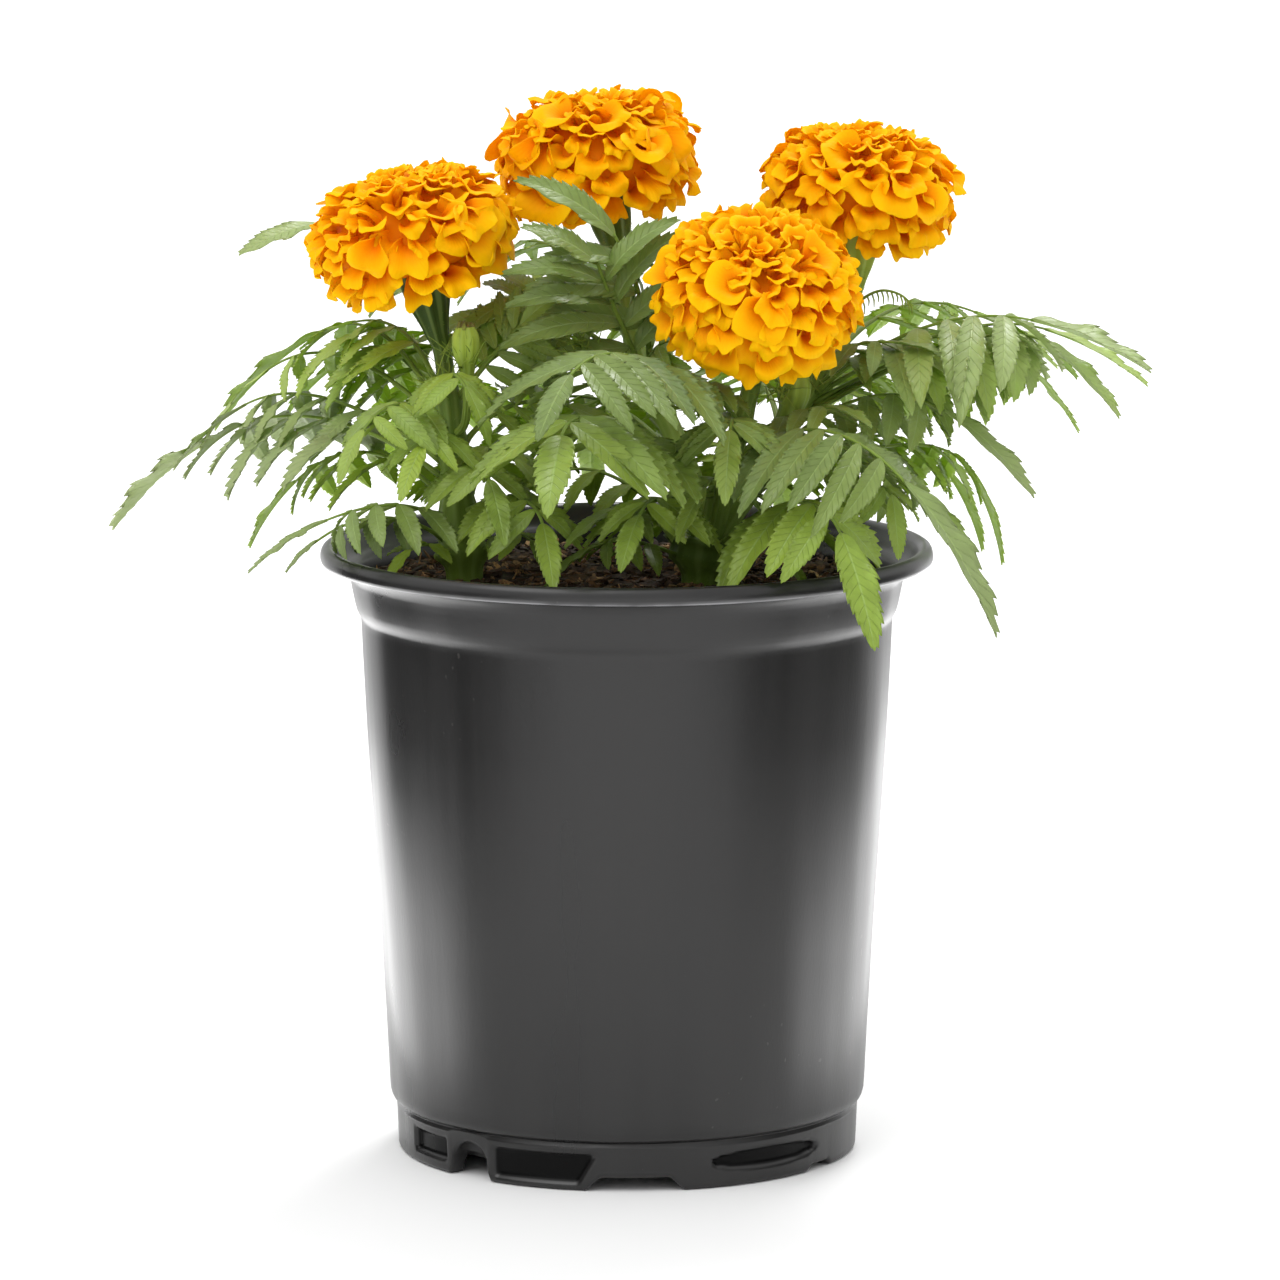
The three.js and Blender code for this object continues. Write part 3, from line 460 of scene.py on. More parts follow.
def pot_material():
    n = Nodes("pot_plastic")
    depth, lip_highlight, _ = n.place()
    streak = n.noise(46.0, 3.0, stretch=(1, 1, 0.05))
    cloud = n.noise(14.0, 3.0)
    grain = n.noise(1500.0, 2.0, stretch=(1, 1, 0.3))
    dust = n.step(n.noise(420.0, 1.0), 0.74, 0.78)
    dust = n.mul(dust, n.step(cloud, 0.5, 0.62))
    colour = n.mix(n.step(streak, 0.3, 0.7), (0.0065, 0.0062, 0.0062), (0.011, 0.0105, 0.0103))
    colour = n.mix(n.mul(dust, 0.12), colour, (0.2, 0.19, 0.18))
    rough = n.add(n.step(streak, 0.3, 0.72, 0.2, 0.3), n.mul(cloud, 0.14))
    normal = n.bump(n.add(streak, n.mul(grain, 0.12)), 0.26, 0.0006)
    # Painted shade: the sunken panels of the foot are darkened, and their gloss is lowered.
    sunken_painted_shade = n.step(depth, 0.3, 0.9)
    colour = n.mix(sunken_painted_shade, colour, (0.002, 0.002, 0.002))
    # Painted highlight: a pale line along the lower edge of the lip, broken up by noise.
    painted_lip_highlight = n.mul(lip_highlight, n.step(n.noise(70.0, 3.0), 0.3, 0.62, 0.25, 1.0))
    colour = n.mix(painted_lip_highlight, colour, (0.3, 0.3, 0.31))
    gloss = n.step(sunken_painted_shade, 0.0, 1.0, 0.5, 0.1)
    return n.surface(n.principled(Base_Color=colour, Roughness=rough, Normal=normal,
                                  Specular_IOR_Level=gloss))


def soil_material():
    n = Nodes("potting_soil")
    coarse = n.noise(160.0, 5.0, roughness=0.65)
    fine = n.noise(900.0, 4.0, roughness=0.7)
    colour = n.ramp(coarse, [(0.3, (0.013, 0.008, 0.005)), (0.5, (0.036, 0.02, 0.011)),
                             (0.62, (0.09, 0.047, 0.022)), (0.72, (0.19, 0.1, 0.046))])
    colour = n.mix(n.step(fine, 0.6, 0.72, 0.0, 0.6), colour, (0.16, 0.09, 0.042))
    normal = n.bump(n.add(coarse, n.mul(fine, 0.4)), 0.9, 0.0012)
    return n.surface(n.principled(Base_Color=colour, Roughness=0.95, Normal=normal))


def chip_material():
    n = Nodes("bark_chips")
    fibre = n.noise(1400.0, 3.0, stretch=(1, 0.25, 1))
    colour = n.ramp(n.place()[2], [(0.0, (0.02, 0.011, 0.007)), (0.45, (0.07, 0.034, 0.015)),
                                   (0.72, (0.20, 0.098, 0.038)), (0.9, (0.44, 0.25, 0.105)),
                                   (1.0, (0.60, 0.39, 0.19))])
    colour = n.mix(n.step(fibre, 0.4, 0.65, 0.0, 0.55), colour, (0.02, 0.011, 0.006))
    normal = n.bump(fibre, 0.6, 0.0005)
    return n.surface(n.principled(Base_Color=colour, Roughness=0.85, Normal=normal))


def petal_material():
    n = Nodes("orange_petal")
    across, along, tint = n.place()
    mottled = n.noise(240.0, 2.0)
    # The ramp darkens towards the throat as painted shade deep in the funnel, and lightens to the rim.
    depth = n.add(along, n.mul(n.sub(mottled, 0.5), 0.16))
    colour = n.ramp(depth, [(0.0, (0.78, 0.15, 0.0)), (0.34, (0.92, 0.26, 0.0)),
                            (0.56, (1.0, 0.42, 0.0)), (0.76, (1.0, 0.56, 0.0)),
                            (0.95, (1.0, 0.66, 0.001)), (1.0, (1.0, 0.68, 0.001))])
    colour = n.mix(n.step(tint, 0.0, 1.0, 0.0, 0.25), colour, (1.0, 0.47, 0.0))
    veins = n.math("SINE", n.mul(across, 60.0))
    normal = n.bump(n.add(n.mul(veins, 0.3), mottled), 0.16, 0.0005)
    return n.leafy(colour, (1.0, 0.56, 0.0), 0.36, Roughness=0.6, Normal=normal,
                   Specular_IOR_Level=0.08)


def leaf_material(name, tone, frost):
    """tone runs from deep green to yellow green; the grey mixed in is partly a grey bloom on the upper
    face and partly painted sheen.
    """
    n = Nodes(name)
    across, along, tint = n.place()
    mottled = n.noise(260.0, 3.0)
    deep = np.array((0.145, 0.225, 0.040))
    fresh = np.array((0.360, 0.500, 0.056))
    # Grey mixed into the blade: partly a grey bloom, partly painted sheen.
    sheen_grey = np.array((0.34, 0.41, 0.27))
    top = (deep + (fresh - deep) * tone) * (1 - 0.55 * frost) + sheen_grey * 0.55 * frost
    colour = n.mix(n.step(mottled, 0.3, 0.7), tuple(top * 0.86), tuple(top * 1.12))
    colour = n.mix(n.step(tint, 0.0, 1.0, 0.0, 0.5), colour, tuple(top * (1.35, 1.25, 0.9)))
    # Side veins run forward from the midrib, paler than the blade.
    aside = n.math("ABSOLUTE", across)
    phase = n.sub(n.mul(along, VEIN_PAIRS), n.mul(aside, VEIN_SLANT))
    wave = n.math("ABSOLUTE", n.math("SINE", n.mul(phase, math.pi)))
    vein = n.step(wave, 0.0, 0.22, 1.0, 0.0)
    midrib = n.step(aside, 0.03, 0.085, 1.0, 0.0)
    pale = tuple(top * 0.5 + np.array((0.30, 0.40, 0.12)) * 0.75)
    colour = n.mix(n.mul(vein, 0.42), colour, pale)
    colour = n.mix(n.mul(midrib, 0.95), colour, pale)
    edge = n.step(aside, 0.93, 1.0)
    colour = n.mix(n.mul(edge, 0.35), colour, tuple(top * (0.75, 0.6, 0.7)))
    # Painted light: leaves far out to either side are made paler, as if more brightly lit.
    sideways = n.math("ABSOLUTE", n.split(n.where())[0])
    colour = n.mix(n.step(sideways, 0.055, 0.12, 0.0, 0.42), colour, (0.52, 0.57, 0.31))
    height = n.sub(n.mul(mottled, 0.5), n.mul(vein, 0.6))
    height = n.sub(height, n.mul(midrib, 0.12))
    through = tuple(np.clip(np.array((0.50, 0.72, 0.03)) * (0.55 + 0.6 * tone), 0, 1))
    rough = n.step(mottled, 0.3, 0.7, 0.34, 0.48)
    return n.leafy(colour, through, 0.34, Roughness=rough, Normal=n.bump(height, 0.6, 0.0009),
                   Specular_IOR_Level=0.6)


def stem_material():
    """Tint runs from the shaded dark green of a stem to the yellow green of young growth."""
    n = Nodes("green_stem")
    around, _, tint = n.place()
    mottled = n.noise(300.0, 3.0, stretch=(1, 1, 0.2))
    stripe = n.math("ABSOLUTE", n.math("SINE", n.mul(around, math.pi * 9)))
    colour = n.ramp(tint, [(0.0, (0.022, 0.048, 0.012)), (0.5, (0.15, 0.24, 0.03)),
                           (0.85, (0.38, 0.50, 0.06)), (1.0, (0.17, 0.105, 0.035))])
    colour = n.mix(n.step(mottled, 0.3, 0.7, 0.0, 0.3), colour, (0.05, 0.08, 0.015))
    colour = n.mix(n.step(stripe, 0.75, 1.0, 0.0, 0.3), colour, (0.26, 0.36, 0.09))
    normal = n.bump(n.add(stripe, n.mul(mottled, 0.4)), 0.3, 0.0005)
    return n.leafy(colour, (0.35, 0.5, 0.05), 0.1, Roughness=0.55, Normal=normal,
                   Specular_IOR_Level=0.22)


# ---- pot

POT_SIDES = 720
POT_WOBBLE = 0.13  # of the moulded wall, seen in its reflections
FOOT_RADIUS = 62.0
FOOT_INNER_RADIUS = 57.0
FOOT_TOP = 12.6
FOOT_ROWS = 16
FLOOR_UNDER = 5.0
FLOOR_TOP = 7.0
ARCH = {"turn": -43.0, "width": 14.0, "height": 9.5}
NOTCH = {"turn": 2.0, "width": 26.6, "top_width": 18.0, "height": 3.5}
NICK = {"turn": 57.0, "width": 11.0, "top_width": 8.0, "height": 1.6}
# Sunken panels of the foot: first and last turn in degrees, lowest and highest point, lean of
# the ends in degrees per mm, and whether the ends are pointed.
PANELS = [
    (-66.0, -51.0, 3.6, 9.6, 0.0, False),
    (-35.0, -7.5, 1.6, 10.0, 0.55, False),
    (21.0, 55.0, 4.4, 9.6, 0.0, True),
]
PANEL_DEPTH = 1.5
# Outer wall from the lip's crest down to the top of the foot: (radius, height).
OUTER_WALL = [
    (80.5, 164.5), (81.2, 164.35), (81.8, 163.9), (82.25, 163.1), (82.5, 162.1), (82.5, 161.1),
    (82.3, 160.4), (81.9, 159.95), (81.2, 159.75), (80.0, 159.8), (78.4, 159.9), (77.2, 159.6),
    (76.3, 158.9), (75.5, 158.0), (74.9, 157.0), (74.5, 155.6), (74.1, 153.5), (73.6, 151.0),
    (73.15, 148.9), (72.75, 147.4), (72.3, 146.4), (71.85, 145.6), (71.6, 144.6), (71.5, 143.0),
    (71.2, 136.0), (70.7, 126.0), (70.1, 114.0), (69.3, 101.0), (68.3, 86.0), (67.4, 72.0),
    (66.5, 58.0), (65.8, 45.0), (65.15, 33.0), (64.7, 24.0), (64.45, 18.5), (64.3, 16.2),
    (64.0, 15.0), (63.5, 14.0), (62.9, 13.4), (62.3, 13.1), (61.95, 12.85), (61.9, 12.5),
]
# Inner wall from the floor up to the crest.
INNER_WALL = [
    (60.5, 7.0), (60.9, 12.8), (62.7, 15.5), (65.0, 58.0), (67.8, 103.0), (70.1, 143.0),
    (70.5, 145.6), (71.0, 147.3), (72.0, 148.2), (72.5, 149.5), (73.0, 153.0), (73.2, 156.5),
    (73.9, 157.6), (75.4, 158.6), (76.6, 159.8), (77.6, 161.5), (78.2, 162.9), (78.9, 163.8),
    (79.7, 164.35),
]
LIP_PAINTED_HIGHLIGHT = {(82.3, 160.4): 0.25, (81.9, 159.95): 1.0, (81.2, 159.75): 0.9}  # points where a pale highlight line is painted along the lip's lower edge
WALL_STEP = 3.0  # longest stretch between two rows of the pot
# Rows under and over the floor inside the foot.
FLOOR_ROWS = [(FOOT_INNER_RADIUS - 1.0, FLOOR_UNDER)]
FLOOR_ROWS += [(radius, FLOOR_UNDER) for radius in (44.0, 30.0, 16.0, 4.0)]
FLOOR_ROWS += [(radius, FLOOR_TOP) for radius in (4.0, 16.0, 30.0, 44.0, 56.0, 59.6)]
# The wall's slow waves: size, how many round it, turn for each mm of height, start.
WAVES = [(0.5, 3, 0.011, 0.6), (0.35, 7, -0.02, 2.1), (0.3, 13, 0.016, 4.0), (0.16, 29, 0.03, 0.0),
         (0.5, 2, 0.0, 1.1)]


def subdivide(profile):
    """The profile with long stretches cut up, so that no row is far from the next."""
    out = [profile[0]]
    for a, b in zip(profile, profile[1:]):
        count = max(1, int(math.dist(a, b) / WALL_STEP))
        out += [tuple(np.array(a) + (np.array(b) - np.array(a)) * k / count) for k in range(1, count + 1)]
    return out


def off_centre(turn, centre):
    """Degrees from the nearer of a feature and its twin on the far side."""
    return (turn - centre + 90) % 180 - 90


def foot_edge(turn):
    """Height of the foot's lower edge, which the cuts raise."""
    mm_per_degree = math.radians(1) * FOOT_RADIUS
    lift = np.zeros_like(turn)
    for cut in (NOTCH, NICK):
        x = np.abs(off_centre(turn, cut["turn"])) * mm_per_degree
        rise = cut["height"] * smooth(cut["width"] / 2 + 0.6, cut["top_width"] / 2 - 0.3, x)
        lift = np.maximum(lift, rise)
    x = np.abs(off_centre(turn, ARCH["turn"])) * mm_per_degree
    half = ARCH["width"] / 2
    roof = ARCH["height"] - half + np.sqrt(np.clip(half ** 2 - x ** 2, 0, None))
    return np.maximum(lift, roof * smooth(half + 0.5, half - 0.4, x))


def panel_depth(turn, height):
    """How far the sunken panels of the foot go in."""
    depth = np.zeros_like(turn)
    for first, last, low, high, lean, pointed in PANELS:
        middle, half = (first + last) / 2, (last - first) / 2
        across = off_centre(turn + lean * (high - height) * (turn > middle), middle) / half
        reach = np.sqrt(np.clip(1 - across ** 2, 0.0001, 1)) if pointed else 1.0
        centre, rise = (low + high) / 2, (high - low) / 2
        upright = np.abs(height - centre) / (rise * reach)
        inside = smooth(1.06, 0.9, np.abs(across)) * smooth(1.15, 0.72, upright)
        depth = np.maximum(depth, PANEL_DEPTH * inside)
    return depth


def wobble(angle, height):
    """Slow waves of the moulded wall, long upwards and short round it."""
    waves = [size * np.sin(count * angle + climb * height + start) for size, count, climb, start in WAVES]
    return POT_WOBBLE * sum(waves)


def make_pot(material):
    """The wall as rings: down its outside, under the foot, over the floor and up its inside."""
    angle = turns(POT_SIDES)
    turn = np.degrees(np.arctan2(np.cos(angle), -np.sin(angle)))  # degrees from -Y towards +X
    edge = foot_edge(turn)
    rows, data = [], []

    def row(radius, height, shake=1.0, depth=0.0, lip_highlight=0.0):
        radius = radius + shake * wobble(angle, np.mean(height))
        level = np.broadcast_to(height, angle.shape)
        rows.append(np.stack([radius * np.cos(angle), radius * np.sin(angle), level], axis=1))
        data.append(np.stack(np.broadcast_arrays(depth / PANEL_DEPTH, lip_highlight, 0 * angle), axis=1))

    for radius, height in subdivide(OUTER_WALL):
        row(radius, height, lip_highlight=LIP_PAINTED_HIGHLIGHT.get((radius, height), 0.0))
    for share in np.linspace(0.06, 1, FOOT_ROWS):  # the foot, down to its edge
        height = FOOT_TOP + (edge + 1.0 - FOOT_TOP) * share
        depth = panel_depth(turn, height)
        row(FOOT_RADIUS + 0.6 - 0.5 * share - depth, height, depth=depth)
    for inward, rise in ((0.1, 0.55), (0.35, 0.22), (0.8, 0.0), (1.6, 0.0), (3.6, 0.0)):
        row(FOOT_RADIUS - inward, edge + rise, 0.6)
    row(FOOT_INNER_RADIUS + 0.4, np.minimum(edge + 0.1, 7.5), 0.3)
    inner = np.minimum(edge, FLOOR_UNDER - 0.4)
    row(FOOT_INNER_RADIUS - 0.2, inner + 0.5 * (FLOOR_UNDER - inner), 0.3)
    for radius, height in FLOOR_ROWS:
        row(radius, height, 0.0)
    for radius, height in subdivide(INNER_WALL):
        row(radius, height)

    under = max(r for r, points in enumerate(rows) if abs(points[0, 2] - FLOOR_UNDER) < 1e-6)
    shape = Shape()
    shape.add_turned(rows, data, under)
    shape.make("pot_moulding", material, "pot_plastic", "pot")


# ---- soil

SOIL_HEIGHT = 155.0
SOIL_SIDES = 220
SOIL_RINGS = 64
SOIL_OUTER = 72.5
SOIL_SHRINK = 0.985  # how far in the rings of the top go, before the cap
# Side of the soil, up along the pot's inner wall: (radius, height).
SOIL_WALL = [
    (60.1, FLOOR_TOP + 0.4), (60.5, 12.8), (62.3, 15.7), (66.0, 80.0), (69.7, 143.0),
    (70.4, 147.0), (71.7, 149.0), (72.3, 151.5),
]
CHIP_COUNT = 2600
CHIP_SPREAD = 71.5
CHIP_REACH = 71.4  # no chip goes farther out, into the pot's wall
# Ranges of length, width and thickness; a fibre is as thick as it is wide.
CHIP = ((2.2, 6.0), (0.7, 2.4), (0.4, 1.2))
FIBRE = ((4.0, 9.0), (0.3, 0.6))
FIBRE_SHARE = 0.2
CHIP_STATIONS = ((-0.5, 0.55), (-0.2, 1.0), (0.15, 1.0), (0.5, 0.55))  # place along a chip, girth
CHIP_CORNERS = ((-1, -1), (1, -1), (1, 1), (-1, 1))


def soil_level(x, y):
    """Height of the soil: low mounds, crumbs, and a rise round each stem."""
    spot = Vector((x * 0.045, y * 0.045, 0.3))
    level = SOIL_HEIGHT + 1.5 * noise.noise(spot) + 1.1 * noise.noise(spot * 3.7)
    level += 0.55 * noise.noise(spot * 11.0) + 0.3 * noise.noise(spot * 27.0)
    for stem in (LEFT_STEM, TRUNK):
        level += 1.5 * math.exp(-((x - stem[0][0]) ** 2 + (y - stem[0][1]) ** 2) / 120)
    return level - 1.4 * float(smooth(60, 73, math.hypot(x, y)))


def make_soil(material):
    ways = [(math.cos(a), math.sin(a)) for a in turns(SOIL_SIDES)]
    rings = [[(radius * x, radius * y, height) for x, y in ways] for radius, height in SOIL_WALL]
    for radius in SOIL_OUTER * (1 - SOIL_SHRINK * np.linspace(0, 1, SOIL_RINGS)):
        rings.append([(radius * x, radius * y, soil_level(radius * x, radius * y)) for x, y in ways])
    shape = Shape()
    shape.add_rings(np.array(rings), 0.0)
    shape.make("soil_bed", material, "potting_soil", "soil")


def make_chips(material):
    """Loose bark on the soil: short blocks, with thin fibres among them."""
    rng = np.random.default_rng(7)
    shape = Shape()
    for _ in range(CHIP_COUNT):
        reach = CHIP_SPREAD * math.sqrt(rng.random())
        outward = flat_way(rng.random() * FULL_TURN)
        at = reach * outward
        sizes = [rng.uniform(*limits) for limits in (FIBRE if rng.random() < FIBRE_SHARE else CHIP)]
        length, width, thick = sizes[0], sizes[1], sizes[-1]
        heading = rng.uniform(0, FULL_TURN)
        tilt = rng.normal(0, 0.3)
        along = flat_way(heading) * math.cos(tilt) + UP * math.sin(tilt)
        across = square_to(unit(np.cross(UP, along) + rng.normal(0, 0.25, 3)), along)
        normal = np.cross(along, across)
        ends = [math.hypot(*(at + along * half)[:2]) for half in (-length / 2, length / 2)]
        at = at - max(0.0, max(ends) + width / 2 - CHIP_REACH) * outward
        centre = at + UP * (soil_level(at[0], at[1]) + thick * rng.uniform(-0.1, 0.5))
        rings = []
        for share, girth in CHIP_STATIONS:
            size = rng.uniform(0.75, 1.1) * girth
            middle = centre + along * share * length + normal * rng.normal(0, 0.12) * thick
            rings.append([middle + across * a * width / 2 * size + normal * b * thick / 2 * size
                          for a, b in CHIP_CORNERS])
        shape.add_rings(np.array(rings), (0.5, 0.5, rng.beta(1.5, 1.9)))
    shape.make("soil_chips", material, "potting_soil", smooth_faces=False)


# ---- stems, calyces and buds

PATH_STEPS = 7
STEM_SIDES = 40
STEM_RIBS = 8
STEM_TINT = 0.55
TRUNK_TINT = 0.35  # at the top of a branch without a bloom
# Tint of each funnel under a bloom: the left one is in shade, the others are yellow green.
CALYX_TINT = {"bloom_left": 0.08, "bloom_back": 0.3, "bloom_front": 0.5, "bloom_right": 0.85}
HAIR_COUNT = 420
HAIR_SIDES = 3
HAIR_RADII = (0.055, 0.04, 0.01)
HAIR_DATA = (0.5, 0.5, 0.7)
SEPALS = 16
SEPAL_RADII = (0.75, 0.62, 0.16)
TUFT_THREADS = 26
# Tufts of young leaflets: root, way, reach.
TUFTS = [
    ((-43.5, -13.5, 214), (-0.2, -0.6, 0.6), 12.0), ((-50, -12, 209), (-0.7, -0.5, 0.3), 10.0),
    ((40.5, -24, 208), (0.3, -0.5, 0.6), 11.0), ((-12, -8, 219), (-0.5, -0.5, 0.6), 10.0),
    ((48, -14, 214), (0.6, -0.4, 0.6), 12.0), ((18, -22, 203), (-0.2, -0.6, 0.6), 9.0),
]
COMB = [(58, -3, 226), (63, -7, 231.5), (68, -9, 234), (73, -10, 233), (76.5, -10.5, 230)]
COMB_TOOTH = np.array((0.5, -0.5, -3.4))
COMB_RADII = (0.28, 0.26, 0.12)


def stem_rings(path, leaf_heights):
    """Smooth ribbed rings along a stem, swollen where leaves leave it, with a ribbed funnel."""
    line = smooth_path(path, PATH_STEPS)
    radii = line[:, 3].copy()
    for height in leaf_heights:
        radii *= 1 + 0.22 * np.exp(-((line[:, 2] - height) / 2.2) ** 2)
    depth = 0.035 + 0.07 * smooth(3.4, 5.6, line[:, 3]) * smooth(175, 200, line[:, 2])
    return tube_rings(line[:, :3], radii, STEM_SIDES, STEM_RIBS, depth[:, None])


def add_hairs(shape, rng, rings):
    """Fine tapered hairs that stand out from a tube."""
    middles = rings.mean(axis=1)
    for _ in range(HAIR_COUNT):
        row, side = rng.integers(1, len(rings) - 1), rng.integers(0, rings.shape[1])
        root = rings[row, side] + (rings[row + 1, side] - rings[row, side]) * rng.random()
        out = unit(unit(root - middles[row]) + rng.normal(0, 0.35, 3))
        aside = unit(np.cross(out, rng.normal(0, 1, 3)))
        tall = rng.uniform(0.5, 1.1)
        path = [root - out * 0.1, root + out * tall * 0.5 + aside * 0.05 * tall, root + out * tall]
        shape.add_rings(tube_rings(path, HAIR_RADII, HAIR_SIDES), HAIR_DATA)


def make_stem(name, paths, material):
    """A stem and its hairs, from branches and the blooms that they bear."""
    shape, hairs = Shape(), Shape()
    rng = np.random.default_rng(len(name))
    for bloom, path in paths:
        rings = stem_rings(path, [leaf.height for leaf in LEAVES.values() if leaf.stem is path])
        data = ring_data(rings, STEM_TINT)
        top = CALYX_TINT.get(bloom, TRUNK_TINT)
        data[..., 2] += (top - STEM_TINT) * smooth(0.35, 0.75, data[..., 1])
        shape.add_rings(rings, data)
        add_hairs(hairs, rng, rings[:len(rings) * 3 // 4])
    hairs.make(name + "_hairs", material, "green_stem")
    shape.make(name + "_skin", material, "green_stem", name)


def make_tufts(material):
    """Threadlike young leaflets that stand about the stems, and a bare comb of a stalk."""
    rng = np.random.default_rng(31)
    shape = Shape()
    for at, towards, reach in TUFTS:
        for _ in range(TUFT_THREADS):
            heading = unit(unit(towards) + rng.normal(0, 0.55, 3))
            droop = UP * rng.uniform(-0.5, 0.3) + rng.normal(0, 0.3, 3)
            far = reach * rng.uniform(0.5, 1.1)
            root = np.array(at) + rng.normal(0, 1.6, 3)
            path = [root + heading * far * t + droop * far * 0.45 * t ** 2 for t in np.linspace(0, 1, 7)]
            shape.add_tube(path, 0.24 * (1 - np.linspace(0, 0.8, 7)), 5, rng.uniform(0.5, 0.88))
    comb = smooth_path(COMB, 8)
    shape.add_tube(comb, np.linspace(0.5, 0.25, len(comb)), 7, 0.6)
    for root in comb[4:-1:2]:
        tip = root + COMB_TOOTH * rng.uniform(0.7, 1.2)
        shape.add_tube([root, (root + tip) / 2 + (0.3, 0, 0), tip], COMB_RADII, 5, 0.7)
    shape.make("young_tufts", material, "green_stem")


def beside_stem(path, height, towards, offset):
    """The point offset mm off a stem's surface at a height, on the side towards a point."""
    i = max(1, next(k for k, p in enumerate(path) if p[2] >= height))
    low, high = np.array(path[i - 1], float), np.array(path[i], float)
    x = low + (high - low) * (height - low[2]) / (high[2] - low[2])
    out = square_to(np.array(towards, float) - x[:3], unit(high[:3] - low[:3]))
    return x[:3] + out * (x[3] + offset)


def make_bud(name, spec, material):
    stem, height, radius, points = spec
    base = beside_stem(stem, height, points[0][:3], -0.8)
    line = smooth_path([(*base, radius), *points], PATH_STEPS)
    shape = Shape()
    rings = tube_rings(line[:, :3], line[:, 3], STEM_SIDES, STEM_RIBS, 0.06)
    data = ring_data(rings, 0.62)
    data[..., 2] += 0.24 * smooth(0.35, 0.8, data[..., 1])
    shape.add_rings(rings, data)
    # Tips of the sepals close over the bud in a low brown crown.
    rng = np.random.default_rng(3)
    for k in range(SEPALS):
        outward = flat_way(k * GOLDEN_TURN)
        reach = line[-1, 3] * 0.95 * math.sqrt((k + 0.5) / SEPALS)
        foot = line[-1, :3] + outward * reach - UP * 0.7
        tip = foot - outward * 0.5 + UP * rng.uniform(1.6, 2.5)
        shape.add_tube([foot, (foot + tip) / 2, tip], SEPAL_RADII, 6, rng.uniform(0.93, 1.0))
    shape.make(name + "_calyx", material, "green_stem", name)


# ---- leaves

RACHIS_HALF_WIDTH = 1.1
RACHIS_DEPTH = 1.4
RACHIS_STATIONS = 28
RACHIS_SIDES = 10
LEAFLETS_FROM = 0.3
LEAFLETS_SPAN = 0.64
SPREAD_AT_BASE = 78.0
SPREAD_LOSS = 28.0
LEAFLET_SLENDERNESS = 0.29
LEAFLET_FOLD = 0.2
END_FACE = np.array((0, -0.6, 1.0))  # what an end leaflet with a way of its own faces
VEIN_PAIRS = 11.0
VEIN_SLANT = 1.5
TEETH = 9
TEETH_FROM, TEETH_TO = 0.17, 0.965
TOOTH_FORM = ((0.0, 0.0), (0.45, 0.55), (0.86, 1.0))  # place along a tooth, how far it is out
TOOTH_DEPTH = 0.15
BLADE_THICKNESS = 0.34
COLUMNS = np.array([-1, -0.86, -0.66, -0.44, -0.22, -0.07, 0, 0.07, 0.22, 0.44, 0.66, 0.86, 1.0])


def leaflet_rows():
    """Places along a leaflet, closer together where the teeth are, and how far a tooth is out."""
    rows = [(place, 0.0) for place in (0.0, 0.03, 0.07, 0.11, 0.145)]
    step = (TEETH_TO - TEETH_FROM) / TEETH
    for k in range(TEETH):
        rows += [(TEETH_FROM + k * step + share * step, out) for share, out in TOOTH_FORM]
    return np.array(rows + [(0.968, 0.0), (1.0, 0.0)]).T


ROWS, TOOTH = leaflet_rows()


def outline(q):
    """Half width of a leaflet along its length, 1 at its widest."""
    shape = q ** 0.62 * (1 - q) ** 0.85
    return np.maximum(shape / (0.42 ** 0.62 * 0.58 ** 0.85), 0.035)


def add_leaflet(shape, rng, root, heading, up, size, width, lean, arch):
    """One toothed blade: folded at its midrib, puckered between its veins, arched down."""
    across = unit(np.cross(up, heading))
    q, s, tooth = ROWS[:, None], COLUMNS[None, :], TOOTH[:, None]
    aside, half = np.abs(s), width / 2
    twist = rng.normal(0, 0.09)
    bend = lean + arch * (1 + rng.normal(0, 0.07)) * q
    forward = (np.sin(bend) - math.sin(lean)) / arch + 0.035 * tooth * smooth(0.7, 1.0, aside)
    down = (math.cos(lean) - np.cos(bend)) / arch
    girth = outline(q) * (1 + TOOTH_DEPTH * (tooth - 0.35) * smooth(0.5, 1.0, aside))
    sideways = s * half * girth
    fold = LEAFLET_FOLD * (1 + rng.normal(0, 0.35))
    ripple = 0.05 * width * np.sin(FULL_TURN * (q * rng.uniform(2.2, 3.4) + rng.random()))
    ripple = ripple * aside ** 2 * (1 + 0.5 * s)
    veins = np.abs(np.sin(math.pi * (VEIN_PAIRS * q - VEIN_SLANT * aside)))
    pucker = 0.085 * width * (veins - 0.6) * aside * (1 - aside) * 2.2
    pucker = pucker * smooth(0.04, 0.2, q) * smooth(1.0, 0.8, q)
    lift = fold * half * outline(q) * aside ** 1.25 + ripple * outline(q) + pucker
    lift = lift + twist * q * sideways
    normal = np.cos(bend)[..., None] * up + np.sin(bend)[..., None] * heading
    middle = root + heading * (size * forward)[..., None] - up * (size * down)[..., None]
    surface = middle + across * sideways[..., None] + normal * lift[..., None]
    thick = BLADE_THICKNESS * (0.35 + 0.65 * (1 - aside))
    rib = 0.5 * np.exp(-(aside / 0.07) ** 2) * (1 - 0.8 * q) * min(1.0, width / 7)
    top = surface + normal * (thick / 2 - 0.12 * rib)[..., None]
    bottom = surface - normal * (thick / 2 + rib)[..., None]
    data = np.stack(np.broadcast_arrays(s, q, rng.random()), axis=-1)
    shape.add_sheet(bottom[:, ::-1], top[:, ::-1], data[:, ::-1])


